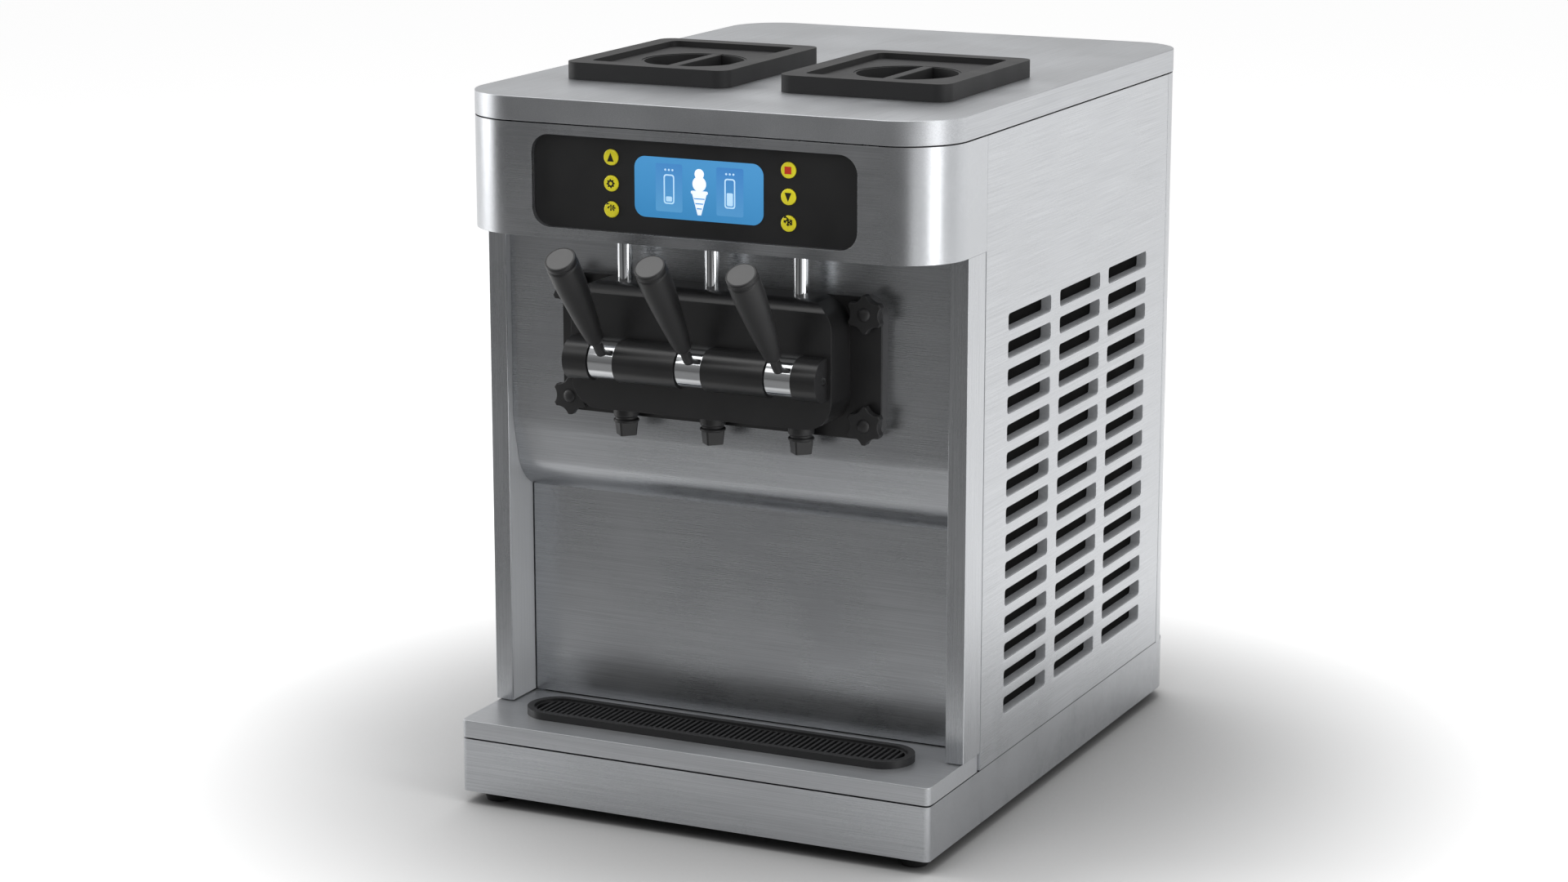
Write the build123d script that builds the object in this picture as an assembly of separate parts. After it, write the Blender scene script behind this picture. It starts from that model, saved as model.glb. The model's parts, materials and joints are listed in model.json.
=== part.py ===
from build123d import *
import os
from math import cos, pi, radians, sin

# Table-top soft-serve ice cream machine with two hoppers, two freezing barrels and three levers.
#
# Working frame: X right, Y back from the front edge of the shelf, Z up from the plinth's
# underside.  Every piece is written in the object's frame: the middle of its box, on the
# surface that the feet stand on.

# ---- driving sizes, mm ----------------------------------------------------------------

# Casing
BODY_W = 540.0
BODY_D = 717.6
WALL = 2.0
SHEET = 1.5
SEAM = 1.5
FIT_GAP = 0.3
RUN_FIT = 0.05
EDGE_BEVEL = 0.8

# Feet
FOOT_H = 14.0
FOOT_TOP_R = 16.0
FOOT_END_R = 14.0
FOOT_INSET_X = 28.0
FOOT_INSET_Y = 30.0

# Plinth and shelf
PLINTH_H = 57.7
PLINTH_LIP = 20.0
FRONT_R = 6.0
PLINTH_REAR_R = 45.0
SHELF_H = 20.5
SHELF_D = 126.0

# Pillars and front panels
PILLAR_W = 20.3
PILLAR_Y = 81.0
PILLAR_INNER_D = 50.0
PILLAR_FOOT_INSET = 3.0
FRONT_PANEL_Y = 91.0
BAND_Y = 111.0
BAND_LOW_Z = 310.0
BAND_HIGH_Z = 372.0
STEP_HIGH_Z = 397.0
SPLASH_Y = 131.0
SPLASH_FOLD = 9.0

# Side and rear panels
PANEL_PROUD = 3.0
PANEL_T = 11.0
PANEL_FRONT_Y = 126.6
REAR_WRAP = 63.0
PANEL_TOP_Z = 719.6
VENT_COLUMNS = 3
VENT_ROWS = 15
VENT_W = 118.0
VENT_H = 17.7
VENT_R = 4.0
VENT_PITCH_Y = 144.0
VENT_PITCH_Z = 29.1
VENT_TOP_Z = 520.2
REAR_R = 60.0
REAR_GAP = 0.6
REAR_LIP = 14.0
REAR_VENT_ROWS = 9
REAR_VENT_H = 9.0
REAR_VENT_PITCH = 22.0
REAR_VENT_LOW_Z = 190.0

# Fascia and top cover
FASCIA_PROUD = 3.4
FASCIA_Y = 9.7
FASCIA_LOW_Z = 603.2
FASCIA_R = 67.0
COVER_SEAM = 1.1
COVER_H = 25.0

# Control panel
RECESS_X = 2.0
RECESS_W = 364.0
RECESS_LOW_Z = 614.0
RECESS_H = 95.3
RECESS_R = 20.0
RECESS_DEPTH = 6.5
CONTROL_T = 3.0
CONTROL_RIM = 8.0
SCREEN_X = 7.2
SCREEN_Z = 662.3
SCREEN_W = 144.0
SCREEN_H = 61.7
SCREEN_R = 12.0
SCREEN_T = 2.2
SCREEN_PROUD = 0.3
BUTTON_X = (-91.3, 106.7)
BUTTON_TOP_Z = 689.3
BUTTON_PITCH = 26.6
BUTTON_R = 8.25
BUTTON_PROUD = 1.6
BUTTON_FLANGE_R = 9.6
BUTTON_FLANGE_T = 1.2
BUTTON_STEM_R = 3.0
BUTTON_TRAVEL = 1.2
BOARD_GAP = 10.8
BOARD_T = 1.6
SWITCH_SIZE = 6.0

# Dispensing head
LEVER_X = (-100.0, 0.0, 100.0)
HEAD_TOP_Z = 556.7
FLANGE_W = 363.6
FLANGE_LOW_Z = 410.0
FLANGE_T = 16.0
FLANGE_R = 20.0
BLOCK_W = 294.4
BLOCK_LOW_Z = 425.0
BLOCK_Y = 30.0
BLOCK_R = 30.0
HOUSING_W = 285.0
HOUSING_R = 22.0
SHAFT_Y = 22.0
SHAFT_Z = 478.75
SHAFT_R = 5.0
COLLAR_R = 20.0
COLLAR_W = 30.0
PLUNGER_Y = 60.0
PLUNGER_R = 8.0
PLUNGER_LOW_Z = 432.0
PLUNGER_TOP_Z = 668.0

# Levers: radius of the grip at distances along it from level with the shaft's axis
LEVER_TILT = 37.1
LEVER_SET = 6.3
NECK_R = 5.2
NECK_BALL = 19.8
STEM_R = 2.5
STEM_START = 7.0
GRIP_START = 36.0
GRIP_TAPER = ((9.3, 41.7), (11.6, 61.7), (13.8, 87.7), (16.4, 122.7), (16.6, 148.7))
GROOVE_DEPTH = 0.9
GROOVE_W = 2.4
GRIP_SHOULDER = 2.0
CAP_R = 16.2
CAP_BEVEL = 1.0
LEVER_L = 156.7

# Nozzles
NOZZLE_R = 13.4
NOZZLE_END_R = 11.4
NOZZLE_COLLAR_H = 11.6
NOZZLE_GROOVE_H = 2.6
NOZZLE_GROOVE_R = 11.5
NOZZLE_H = 31.8
NOZZLE_BORE_R = 7.0
NOZZLE_LIP_H = 2.8
NOZZLE_SKIRT_R = 13.2
NOZZLE_CORNER = 5.0
PASSAGE_R = 6.0
PASSAGE_IN = 33.6

# Star knobs and studs
KNOB_X = 168.0
KNOB_Z = (427.0, 541.0)
KNOB_LOBES = 6
KNOB_TIP_R = 20.0
KNOB_VALLEY_R = 15.5
KNOB_HOLLOW_R = 12.5
KNOB_ROUND = 1.2
KNOB_T = 10.0
KNOB_HUB_R = 10.0
KNOB_HUB_T = 3.0
KNOB_BOSS_R = 7.0
KNOB_BOSS_H = 3.0
STUD_R = 4.0
STUD_HEAD_R = 8.0
STUD_HEAD_T = 2.5

# Hoppers and lids
HOPPER_X = 124.0
HOPPER_Y = 267.0
HOPPER_W = 160.0
HOPPER_L = 205.0
HOPPER_R = 16.0
HOPPER_LOW_Z = 575.0
HOPPER_FLANGE = 8.0
SPIGOT_L = 15.0
LID_W = 190.0
LID_L = 235.0
LID_H = 18.3
LID_R = 16.0
LID_WALL = 3.0
LID_RIM = 21.0
LID_FLOOR_H = 12.0
LID_RECESS_R = 8.0
POCKET_R = 53.5
POCKET_DEPTH = 24.0
POCKET_BAR_W = 11.5
POCKET_RING_R = 56.0
POCKET_RING_DEPTH = 0.8

# Freezing drive
BARREL_X = 95.0
BARREL_Z = 480.0
BARREL_R = 55.0
BARREL_BORE_R = 48.0
BARREL_L = 305.0
BARREL_END_T = 12.0
SEAL_R = 51.0
SEAL_W = 3.0
SEAL_T = 2.0
SEAL_PROUD = 0.4
BEATER_R = 47.0
BEATER_SHAFT_R = 8.0
BEATER_BLADE_T = 5.0
BEATER_BLADE_W = 13.0
BEATER_TURNS = 1.5
BEATER_ARM_T = 8.0
SADDLE_T = 14.0
SADDLE_W = 80.0
GEARBOX_W = 92.0
GEARBOX_L = 55.0
GEARBOX_GAP = 4.0
GEARBOX_SOCKET = 25.0
MOTOR_R = 52.0
MOTOR_L = 140.0
MOTOR_BAYS = 6
FEED_R = 11.0
FEED_BORE_R = 7.0

# Chassis
DECK_INSET = 4.0
POST = 20.0
MID_DECK_Z = 410.0

# Cooling
COMPRESSOR_CLEAR = 46.0
COMPRESSOR_Y = 330.0
COMPRESSOR_R = 82.0
COMPRESSOR_H = 190.0
COMPRESSOR_FOOT_R = 14.0
COMPRESSOR_FOOT_H = 18.0
COMPRESSOR_PLATE_T = 3.0
CONDENSER_CLEAR = 24.0
CONDENSER_T = 40.0
CONDENSER_L = 300.0
CONDENSER_H = 300.0
CONDENSER_FINS = 14
FAN_Z = 225.0
FAN_R = 115.0
FAN_HUB_R = 22.0
FAN_HUB_L = 24.0
FAN_BLADES = 5
FAN_BLADE_T = 3.0
FAN_BLADE_W = 34.8
FAN_PITCH = 28.0
FAN_GAP = 8.0
FAN_SHAFT_R = 4.0
FAN_MOTOR_R = 38.0
FAN_MOTOR_L = 70.0

# Drip tray and grille
TRAY_L = 445.4
TRAY_W = 64.5
TRAY_Y = 67.2
TRAY_RIM_W = 6.0
TRAY_RIM_H = 8.0
TRAY_RIM_BEVEL = 1.5
TRAY_LEDGE = 2.2
TRAY_LEDGE_H = 2.0
TRAY_DEPTH = 38.0
TRAY_WALL = 2.5
GRILLE_T = 3.6
GRILLE_FRAME_W = 2.6
GRILLE_PITCH = 6.6
GRILLE_BAR_W = 3.3

# Power inlet
INLET_INSET = 30.0
INLET_Z = 110.0
INLET_W = 28.0
INLET_H = 22.0
INLET_DEPTH = 26.0
INLET_FLANGE = 9.0
INLET_FLANGE_T = 2.5
PIN_W = 2.0
PIN_H = 4.0
PIN_SPOTS = ((-7.0, -2.0), (0.0, 2.5), (7.0, -2.0))

# ---- worked-out places ------------------------------------------------------------------

SHELF_TOP = PLINTH_H + SHELF_H
PANEL_LOW_Z = PLINTH_H + SEAM
PANEL_X = BODY_W / 2 + PANEL_PROUD
PANEL_IN_X = PANEL_X - PANEL_T
FASCIA_W = BODY_W + 2 * FASCIA_PROUD
COVER_LOW_Z = PANEL_TOP_Z + COVER_SEAM
COVER_TOP = COVER_LOW_Z + COVER_H
PILLAR_IN_X = PANEL_X - PILLAR_W
FRONT_HALF_W = PILLAR_IN_X - FIT_GAP
FLANGE_Y = FRONT_PANEL_Y - FLANGE_T
CONTROL_Y = FASCIA_Y + RECESS_DEPTH
CONTROL_BACK_Y = CONTROL_Y + CONTROL_T
BOARD_Y = CONTROL_BACK_Y + BOARD_GAP
BUTTON_STEM_END = BOARD_Y - SWITCH_SIZE - BUTTON_TRAVEL - FIT_GAP
BUTTON_Z = [BUTTON_TOP_Z - row * BUTTON_PITCH for row in range(3)]
BARREL_Y = FRONT_PANEL_Y + SEAL_PROUD
BARREL_REAR_Y = BARREL_Y + BARREL_L
GEARBOX_Y = BARREL_REAR_Y + GEARBOX_GAP
MOTOR_Y = GEARBOX_Y + GEARBOX_L
MID_DECK_TOP = MID_DECK_Z + WALL
PANEL_REAR_Y = BODY_D - REAR_WRAP
PANEL_MIDDLE_Y = (PANEL_FRONT_Y + PANEL_REAR_Y) / 2
POST_Y = (SPLASH_Y + SHEET, PANEL_REAR_Y - POST)
TRAY_R = TRAY_W / 2
TRAY_STRAIGHT = TRAY_L - TRAY_W
TRAY_MOUTH_R = TRAY_R - TRAY_RIM_BEVEL - TRAY_RIM_W
TRAY_WELL_R = TRAY_MOUTH_R - TRAY_LEDGE
LEDGE_Z = SHELF_TOP + TRAY_LEDGE_H
CONDENSER_X = PANEL_IN_X - CONDENSER_CLEAR - CONDENSER_T
COMPRESSOR_X = COMPRESSOR_CLEAR + COMPRESSOR_R + COMPRESSOR_FOOT_R - PANEL_IN_X
FAN_X = CONDENSER_X - FAN_GAP - FAN_HUB_L
FAN_Y = PANEL_MIDDLE_Y
INLET_X = BODY_W / 2 - REAR_R - INLET_INSET
REAR_WALL_Y = BODY_D - SHEET

# ---- simple solids ----------------------------------------------------------------------

TURN = {"X": Rot(0, 90, 0), "Y": Rot(-90, 0, 0), "Z": Rot(0, 0, 0)}
BASE = (Align.CENTER, Align.CENTER, Align.MIN)


def block(x0, x1, y0, y1, z0, z1):
    """Box between two opposite corners."""
    middle = Pos((x0 + x1) / 2, (y0 + y1) / 2, (z0 + z1) / 2)
    return middle * Box(x1 - x0, y1 - y0, z1 - z0)


def rod(axis, radius, x, y, z, length):
    """Cylinder that starts at a point and runs along +X, +Y or +Z."""
    return Pos(x, y, z) * TURN[axis] * Cylinder(radius, length, align=BASE)


def ring(axis, outer, inner, x, y, z, length):
    """Tube that starts at a point and runs along +X, +Y or +Z."""
    return rod(axis, outer, x, y, z, length) - rod(axis, inner, x, y, z, length)


def flat_slab(x, y, width, length, z0, z1, radius):
    """Level plate about a centre, with its upright corners rounded."""
    outline = Pos(x, y, z0) * RectangleRounded(width, length, radius)
    return extrude(outline, amount=z1 - z0, dir=(0, 0, 1))


def front_slab(x, z0, z1, width, y0, y1, radius):
    """Upright plate that faces the front, with its four corners rounded."""
    plane = Plane(origin=(x, y0, (z0 + z1) / 2), x_dir=(1, 0, 0), z_dir=(0, -1, 0))
    return extrude(plane * RectangleRounded(width, z1 - z0, radius), amount=y1 - y0, dir=(0, 1, 0))


def stadium(radius, z0, z1):
    """Slot-shaped slab about the drip tray's centre."""
    outline = Pos(0, TRAY_Y, z0) * SlotOverall(TRAY_STRAIGHT + 2 * radius, 2 * radius)
    return extrude(outline, amount=z1 - z0, dir=(0, 0, 1))


def body_slab(width, y0, y1, z0, z1, front_r, rear_r):
    """Level slab with its own corner radius at the front and at the rear."""
    plan = Rectangle(width, y1 - y0)
    if front_r > 0:
        plan = fillet(plan.vertices().group_by(Axis.Y)[0], front_r)
    if rear_r > 0:
        plan = fillet(plan.vertices().group_by(Axis.Y)[-1], rear_r)
    return extrude(Pos(0, (y0 + y1) / 2, z0) * plan, amount=z1 - z0, dir=(0, 0, 1))


def other_side(shape):
    """The same piece on the other side of the machine."""
    return mirror(shape, about=Plane.YZ)


# ---- casing -----------------------------------------------------------------------------


def base_plinth():
    """Folded tray with an inward lip that carries the shelf and the deck."""
    outer = body_slab(BODY_W, 0, BODY_D, 0, PLINTH_H, FRONT_R, PLINTH_REAR_R)
    inner = body_slab(BODY_W - 2 * WALL, WALL, BODY_D - WALL, WALL, PLINTH_H - WALL,
                      FRONT_R - WALL, PLINTH_REAR_R - WALL)
    mouth = body_slab(BODY_W - 2 * PLINTH_LIP, PLINTH_LIP, BODY_D - PLINTH_LIP,
                      PLINTH_H - WALL, PLINTH_H, 0, PLINTH_REAR_R - PLINTH_LIP)
    return outer - inner - mouth


def rubber_feet():
    """Four tapered feet under the plinth."""
    foot = Cone(FOOT_END_R, FOOT_TOP_R, FOOT_H, align=BASE)
    foot = chamfer(foot.edges().sort_by(Axis.Z)[0], EDGE_BEVEL)
    spots = [(x, y) for x in (FOOT_INSET_X - BODY_W / 2, BODY_W / 2 - FOOT_INSET_X)
             for y in (FOOT_INSET_Y, BODY_D - FOOT_INSET_Y)]
    return [Pos(x, y, -FOOT_H) * foot for x, y in spots]


def front_shelf():
    """Hollow shelf with the drip tray's opening and a tongue under the splash panel."""
    shelf = body_slab(BODY_W, 0, SHELF_D, PLINTH_H, SHELF_TOP, FRONT_R, 0)
    rim = shelf.faces().sort_by(Axis.Z)[-1].edges().filter_by_position(Axis.Y, -SEAM, SHELF_D - SEAM)
    shelf = chamfer(rim, EDGE_BEVEL)
    shelf -= body_slab(BODY_W - 2 * WALL, WALL, SHELF_D - WALL, PLINTH_H, SHELF_TOP - WALL,
                       FRONT_R - WALL, 0)
    shelf += block(-FRONT_HALF_W, FRONT_HALF_W, SHELF_D - WALL, SPLASH_Y + SHEET,
                   SHELF_TOP - WALL, SHELF_TOP)
    return shelf - stadium(TRAY_WELL_R + TRAY_WALL + FIT_GAP, PLINTH_H, SHELF_TOP)


def pillar_right():
    """Channel that carries the fascia, on a foot plate that leaves a dark seam."""
    rear = PILLAR_Y + PILLAR_INNER_D
    low = SHELF_TOP + SEAM
    pillar = block(PILLAR_IN_X, PANEL_X, PILLAR_Y, rear, low, FASCIA_LOW_Z)
    corner = pillar.edges().filter_by(Axis.Z).group_by(Axis.Y)[0].sort_by(Axis.X)[-1]
    pillar = chamfer(corner, EDGE_BEVEL)
    pillar -= block(PILLAR_IN_X + SHEET, PANEL_X - SHEET, PILLAR_Y + SHEET, rear, low, FASCIA_LOW_Z)
    pillar -= block(PANEL_X - SHEET, PANEL_X, SHELF_D, rear, low, FASCIA_LOW_Z)
    pillar += block(PILLAR_IN_X + PILLAR_FOOT_INSET, BODY_W / 2 - PILLAR_FOOT_INSET,
                    PILLAR_Y + PILLAR_FOOT_INSET, SHELF_D - PILLAR_FOOT_INSET, SHELF_TOP, low)
    return pillar + block(PILLAR_IN_X + SHEET, PANEL_X - SHEET, PILLAR_Y + SHEET, SHELF_D, low,
                          low + SHEET)


def panel_line(back):
    """Upright, S step, band and rounded foot of the panel's profile, set back by a distance."""
    high = (FRONT_PANEL_Y + back, STEP_HIGH_Z)
    low = (BAND_Y + back, BAND_HIGH_Z)
    middle = ((high[0] + low[0]) / 2, (high[1] + low[1]) / 2)
    turn = (low[0], BAND_LOW_Z + SPLASH_Y - BAND_Y)
    return [Line((high[0], FASCIA_LOW_Z), high), TangentArc(high, middle, tangent=(0, -1)),
            TangentArc(low, middle, tangent=(0, 1)), Line(low, turn),
            TangentArc(turn, (SPLASH_Y, BAND_LOW_Z + back), tangent=(0, -1))]


def upper_front_panel():
    """Panel behind the head: upright, stepping back in an S to a band rounded back to the splash panel."""
    foot = Line((SPLASH_Y, BAND_LOW_Z), (SPLASH_Y, BAND_LOW_Z + SHEET))
    top = Line((FRONT_PANEL_Y, FASCIA_LOW_Z), (FRONT_PANEL_Y + SHEET, FASCIA_LOW_Z))
    lines = panel_line(0) + panel_line(SHEET) + [foot, top]
    face = make_face(Wire(sum((line.edges() for line in lines), [])))
    panel = extrude(Plane.YZ.offset(-FRONT_HALF_W) * face, amount=2 * FRONT_HALF_W, dir=(1, 0, 0))
    for side in (-1, 1):
        panel -= rod("Y", BARREL_R + SEAM, side * BARREL_X, FRONT_PANEL_Y, BARREL_Z, SHEET)
        for z in KNOB_Z:
            panel -= rod("Y", STUD_R + RUN_FIT, side * KNOB_X, FRONT_PANEL_Y, z, SHEET)
    return panel


def splash_panel():
    """Flat panel behind the serving space, folded back at its foot."""
    low = SHELF_TOP + SEAM
    sheet = block(-FRONT_HALF_W, FRONT_HALF_W, SPLASH_Y, SPLASH_Y + SHEET, low, BAND_LOW_Z + SHEET)
    fold = block(-FRONT_HALF_W + POST, FRONT_HALF_W - POST, SPLASH_Y, SPLASH_Y + SPLASH_FOLD, low,
                 low + SHEET)
    return sheet + fold


def side_panel_right():
    """Thick panel with three columns of open vents."""
    panel = block(PANEL_IN_X, PANEL_X, PANEL_FRONT_Y, PANEL_REAR_Y, PANEL_LOW_Z, PANEL_TOP_Z)
    front_edge = panel.edges().filter_by(Axis.Z).group_by(Axis.Y)[0].sort_by(Axis.X)[-1]
    panel = chamfer(front_edge, EDGE_BEVEL)
    field_z = VENT_TOP_Z - (VENT_ROWS - 1) * VENT_PITCH_Z / 2
    plane = Plane(origin=(PANEL_X, PANEL_MIDDLE_Y, field_z), x_dir=(0, 1, 0), z_dir=(1, 0, 0))
    slot = extrude(RectangleRounded(VENT_W, VENT_H, VENT_R), amount=-PANEL_T)
    grid = GridLocations(VENT_PITCH_Y, VENT_PITCH_Z, VENT_COLUMNS, VENT_ROWS)
    return panel - [plane * spot * slot for spot in grid]


def rear_panel():
    """Wrap-round sheet with a row of vents, the inlet's opening and a foot flange."""
    start = PANEL_REAR_Y + REAR_GAP
    panel = body_slab(2 * PANEL_X, start - REAR_R, BODY_D, PANEL_LOW_Z, PANEL_TOP_Z, 0, REAR_R)
    panel -= body_slab(2 * (PANEL_X - SHEET), start - REAR_R, REAR_WALL_Y, PANEL_LOW_Z + SHEET,
                       PANEL_TOP_Z, 0, REAR_R - SHEET)
    panel -= body_slab(2 * (PANEL_X - REAR_LIP), start - REAR_R, BODY_D - REAR_LIP, PANEL_LOW_Z,
                       PANEL_LOW_Z + SHEET, 0, REAR_R - REAR_LIP)
    panel -= block(-PANEL_X, PANEL_X, start - REAR_R, start, PANEL_LOW_Z, PANEL_TOP_Z)
    for row in range(REAR_VENT_ROWS):
        z = REAR_VENT_LOW_Z + row * REAR_VENT_PITCH
        for column in (-1, 0, 1):
            x = column * VENT_PITCH_Y
            panel -= block(x - VENT_W / 2, x + VENT_W / 2, REAR_WALL_Y, BODY_D, z, z + REAR_VENT_H)
    return panel - block(INLET_X - INLET_W / 2, INLET_X + INLET_W / 2, REAR_WALL_Y, BODY_D,
                         INLET_Z - INLET_H / 2, INLET_Z + INLET_H / 2)


def top_cover():
    """Hollow lid of the casing, with one opening for each hopper."""
    cover = body_slab(FASCIA_W, FASCIA_Y, BODY_D, COVER_LOW_Z, COVER_TOP, FASCIA_R, REAR_R)
    cover = chamfer(cover.faces().sort_by(Axis.Z)[-1].edges(), EDGE_BEVEL)
    cover -= body_slab(FASCIA_W - 2 * WALL, FASCIA_Y + WALL, BODY_D - WALL, COVER_LOW_Z,
                       COVER_TOP - WALL, FASCIA_R - WALL, REAR_R - WALL)
    for side in (-1, 1):
        cover -= flat_slab(side * HOPPER_X, HOPPER_Y, HOPPER_W + 2 * FIT_GAP,
                           HOPPER_L + 2 * FIT_GAP, COVER_TOP - WALL, COVER_TOP, HOPPER_R + FIT_GAP)
    return cover


def chassis_frame():
    """Deck plate on the plinth, middle deck for the freezing drive, and four posts."""
    deck = body_slab(BODY_W - 2 * DECK_INSET, SPLASH_Y + 2 * PILLAR_FOOT_INSET, BODY_D - DECK_INSET,
                     PLINTH_H, PANEL_LOW_Z, 0, PLINTH_REAR_R - DECK_INSET)
    shelf = block(-PANEL_IN_X, PANEL_IN_X, POST_Y[0], POST_Y[1] + POST, MID_DECK_Z, MID_DECK_TOP)
    posts = []
    for x in (-PANEL_IN_X, PANEL_IN_X - POST):
        for y in POST_Y:
            posts.append(block(x, x + POST, y, y + POST, PANEL_LOW_Z, COVER_TOP - WALL))
            shelf -= block(x, x + POST, y, y + POST, MID_DECK_Z, MID_DECK_TOP)
    return [deck, shelf] + posts


# ---- controls ---------------------------------------------------------------------------


def fascia():
    """Shell round the front with a collared recess for the controls and holes for the plungers."""
    shell = body_slab(FASCIA_W, FASCIA_Y, SHELF_D, FASCIA_LOW_Z, PANEL_TOP_Z, FASCIA_R, 0)
    shell = chamfer(shell.faces().sort_by(Axis.Z)[0].edges().filter_by_position(Axis.Y, -SEAM, SHELF_D - SEAM),
                    EDGE_BEVEL)
    shell -= body_slab(FASCIA_W - 2 * WALL, FASCIA_Y + WALL, SHELF_D, FASCIA_LOW_Z + WALL,
                       PANEL_TOP_Z, FASCIA_R - WALL, 0)
    high = RECESS_LOW_Z + RECESS_H
    shell += front_slab(RECESS_X, RECESS_LOW_Z - WALL, high + WALL, RECESS_W + 2 * WALL, FASCIA_Y,
                        CONTROL_Y, RECESS_R + WALL)
    shell -= front_slab(RECESS_X, RECESS_LOW_Z, high, RECESS_W, FASCIA_Y, CONTROL_Y, RECESS_R)
    for x in LEVER_X:
        shell -= rod("Z", PLUNGER_R + FIT_GAP, x, PLUNGER_Y, FASCIA_LOW_Z, WALL)
    return shell


def control_panel():
    """Dark plate behind the recess, with a pocket for the screen and six button holes."""
    rim = min(CONTROL_RIM, RECESS_LOW_Z - FASCIA_LOW_Z - WALL - FIT_GAP)
    high = RECESS_LOW_Z + RECESS_H
    panel = front_slab(RECESS_X, RECESS_LOW_Z - rim, high + rim, RECESS_W + 2 * rim, CONTROL_Y,
                       CONTROL_BACK_Y, RECESS_R + rim)
    panel -= front_slab(SCREEN_X, SCREEN_Z - SCREEN_H / 2, SCREEN_Z + SCREEN_H / 2, SCREEN_W,
                        CONTROL_Y, CONTROL_Y + SCREEN_T - SCREEN_PROUD, SCREEN_R)
    for x in BUTTON_X:
        for z in BUTTON_Z:
            panel -= rod("Y", BUTTON_R + FIT_GAP, x, CONTROL_Y, z, CONTROL_T)
    return panel


def display_screen():
    """Glass of the display, just proud of the control panel."""
    front = CONTROL_Y - SCREEN_PROUD
    return front_slab(SCREEN_X, SCREEN_Z - SCREEN_H / 2, SCREEN_Z + SCREEN_H / 2, SCREEN_W, front,
                      front + SCREEN_T, SCREEN_R)


def button(x, z):
    """Round cap with a flange that keeps it in and a stem that reaches its switch."""
    front = CONTROL_Y - BUTTON_PROUD
    flange = CONTROL_BACK_Y + FIT_GAP
    cap = rod("Y", BUTTON_R, x, front, z, flange - front)
    cap = chamfer(cap.edges().sort_by(Axis.Y)[0], EDGE_BEVEL / 2)
    cap += rod("Y", BUTTON_FLANGE_R, x, flange, z, BUTTON_FLANGE_T)
    return cap + rod("Y", BUTTON_STEM_R, x, flange, z, BUTTON_STEM_END - flange)


def control_board():
    """Circuit board on four spacers, with one switch behind each button."""
    low = RECESS_LOW_Z + 2 * WALL
    high = RECESS_LOW_Z + RECESS_H - 2 * WALL
    half = RECESS_W / 2 - 2 * WALL
    board = block(RECESS_X - half, RECESS_X + half, BOARD_Y, BOARD_Y + BOARD_T, low, high)
    for x in (RECESS_X - half + RECESS_R, RECESS_X + half - RECESS_R):
        for z in (low + 2 * BUTTON_STEM_R, high - 2 * BUTTON_STEM_R):
            board += rod("Y", BUTTON_STEM_R, x, CONTROL_BACK_Y, z, BOARD_GAP)
    for x in BUTTON_X:
        for z in BUTTON_Z:
            board += block(x - SWITCH_SIZE / 2, x + SWITCH_SIZE / 2, BOARD_Y - SWITCH_SIZE, BOARD_Y,
                           z - SWITCH_SIZE / 2, z + SWITCH_SIZE / 2)
    return board


# ---- dispensing head --------------------------------------------------------------------


def valve_body():
    """Moulded head: flange, block, shaft housing, plunger bores and the feed passages."""
    body = front_slab(0, FLANGE_LOW_Z, HEAD_TOP_Z, FLANGE_W, FLANGE_Y, FRONT_PANEL_Y, FLANGE_R)
    body += front_slab(0, BLOCK_LOW_Z, HEAD_TOP_Z, BLOCK_W, BLOCK_Y, FLANGE_Y, BLOCK_R)
    body += rod("X", HOUSING_R, -HOUSING_W / 2, SHAFT_Y, SHAFT_Z, HOUSING_W)
    body += block(-HOUSING_W / 2, HOUSING_W / 2, SHAFT_Y, BLOCK_Y, SHAFT_Z - HOUSING_R,
                  SHAFT_Z + HOUSING_R)
    body -= rod("X", SHAFT_R + RUN_FIT, -HOUSING_W / 2, SHAFT_Y, SHAFT_Z, HOUSING_W)
    notch = COLLAR_W / 2 + FIT_GAP
    for x in LEVER_X:
        body -= block(x - notch, x + notch, SHAFT_Y - HOUSING_R, BLOCK_Y, SHAFT_Z - HOUSING_R,
                      SHAFT_Z + HOUSING_R)
        body -= rod("X", COLLAR_R + FIT_GAP, x - notch, SHAFT_Y, SHAFT_Z, 2 * notch)
        body -= rod("Z", PLUNGER_R + RUN_FIT, x, PLUNGER_Y, BLOCK_LOW_Z, HEAD_TOP_Z - BLOCK_LOW_Z)
    passage_z = BARREL_Z - BARREL_BORE_R / 2
    for side in (-1, 1):
        start = Vector(side * (BARREL_X - PASSAGE_IN), FRONT_PANEL_Y, passage_z)
        run = Vector(0, PLUNGER_Y, passage_z) - start
        body -= Plane(origin=start, z_dir=run) * Cylinder(PASSAGE_R, run.length, align=BASE)
        body -= rod("Y", PASSAGE_R, side * LEVER_X[2], PLUNGER_Y, passage_z,
                    FRONT_PANEL_Y - PLUNGER_Y)
        body -= ring("Y", SEAL_R + SEAL_W / 2, SEAL_R - SEAL_W / 2, side * BARREL_X,
                     BARREL_Y - SEAL_T, BARREL_Z, SEAL_T)
        for z in KNOB_Z:
            body -= rod("Y", STUD_R + FIT_GAP, side * KNOB_X, FLANGE_Y, z, FLANGE_T)
    return body


def head_seals():
    """Two rings between the head and the mouths of the barrels."""
    return [ring("Y", SEAL_R + SEAL_W / 2, SEAL_R - SEAL_W / 2, side * BARREL_X,
                 BARREL_Y - SEAL_T, BARREL_Z, SEAL_T) for side in (-1, 1)]


def lever_shaft():
    """Shaft that the three levers turn on."""
    half = HOUSING_W / 2 - WALL
    return rod("X", SHAFT_R, -half, SHAFT_Y, SHAFT_Z, 2 * half)


def tilted(x, shape):
    """Put a lever that stands along +Z from its axis at its place and rest angle."""
    return Pos(x, SHAFT_Y, SHAFT_Z) * Rot(LEVER_TILT, 0, 0) * shape


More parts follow.
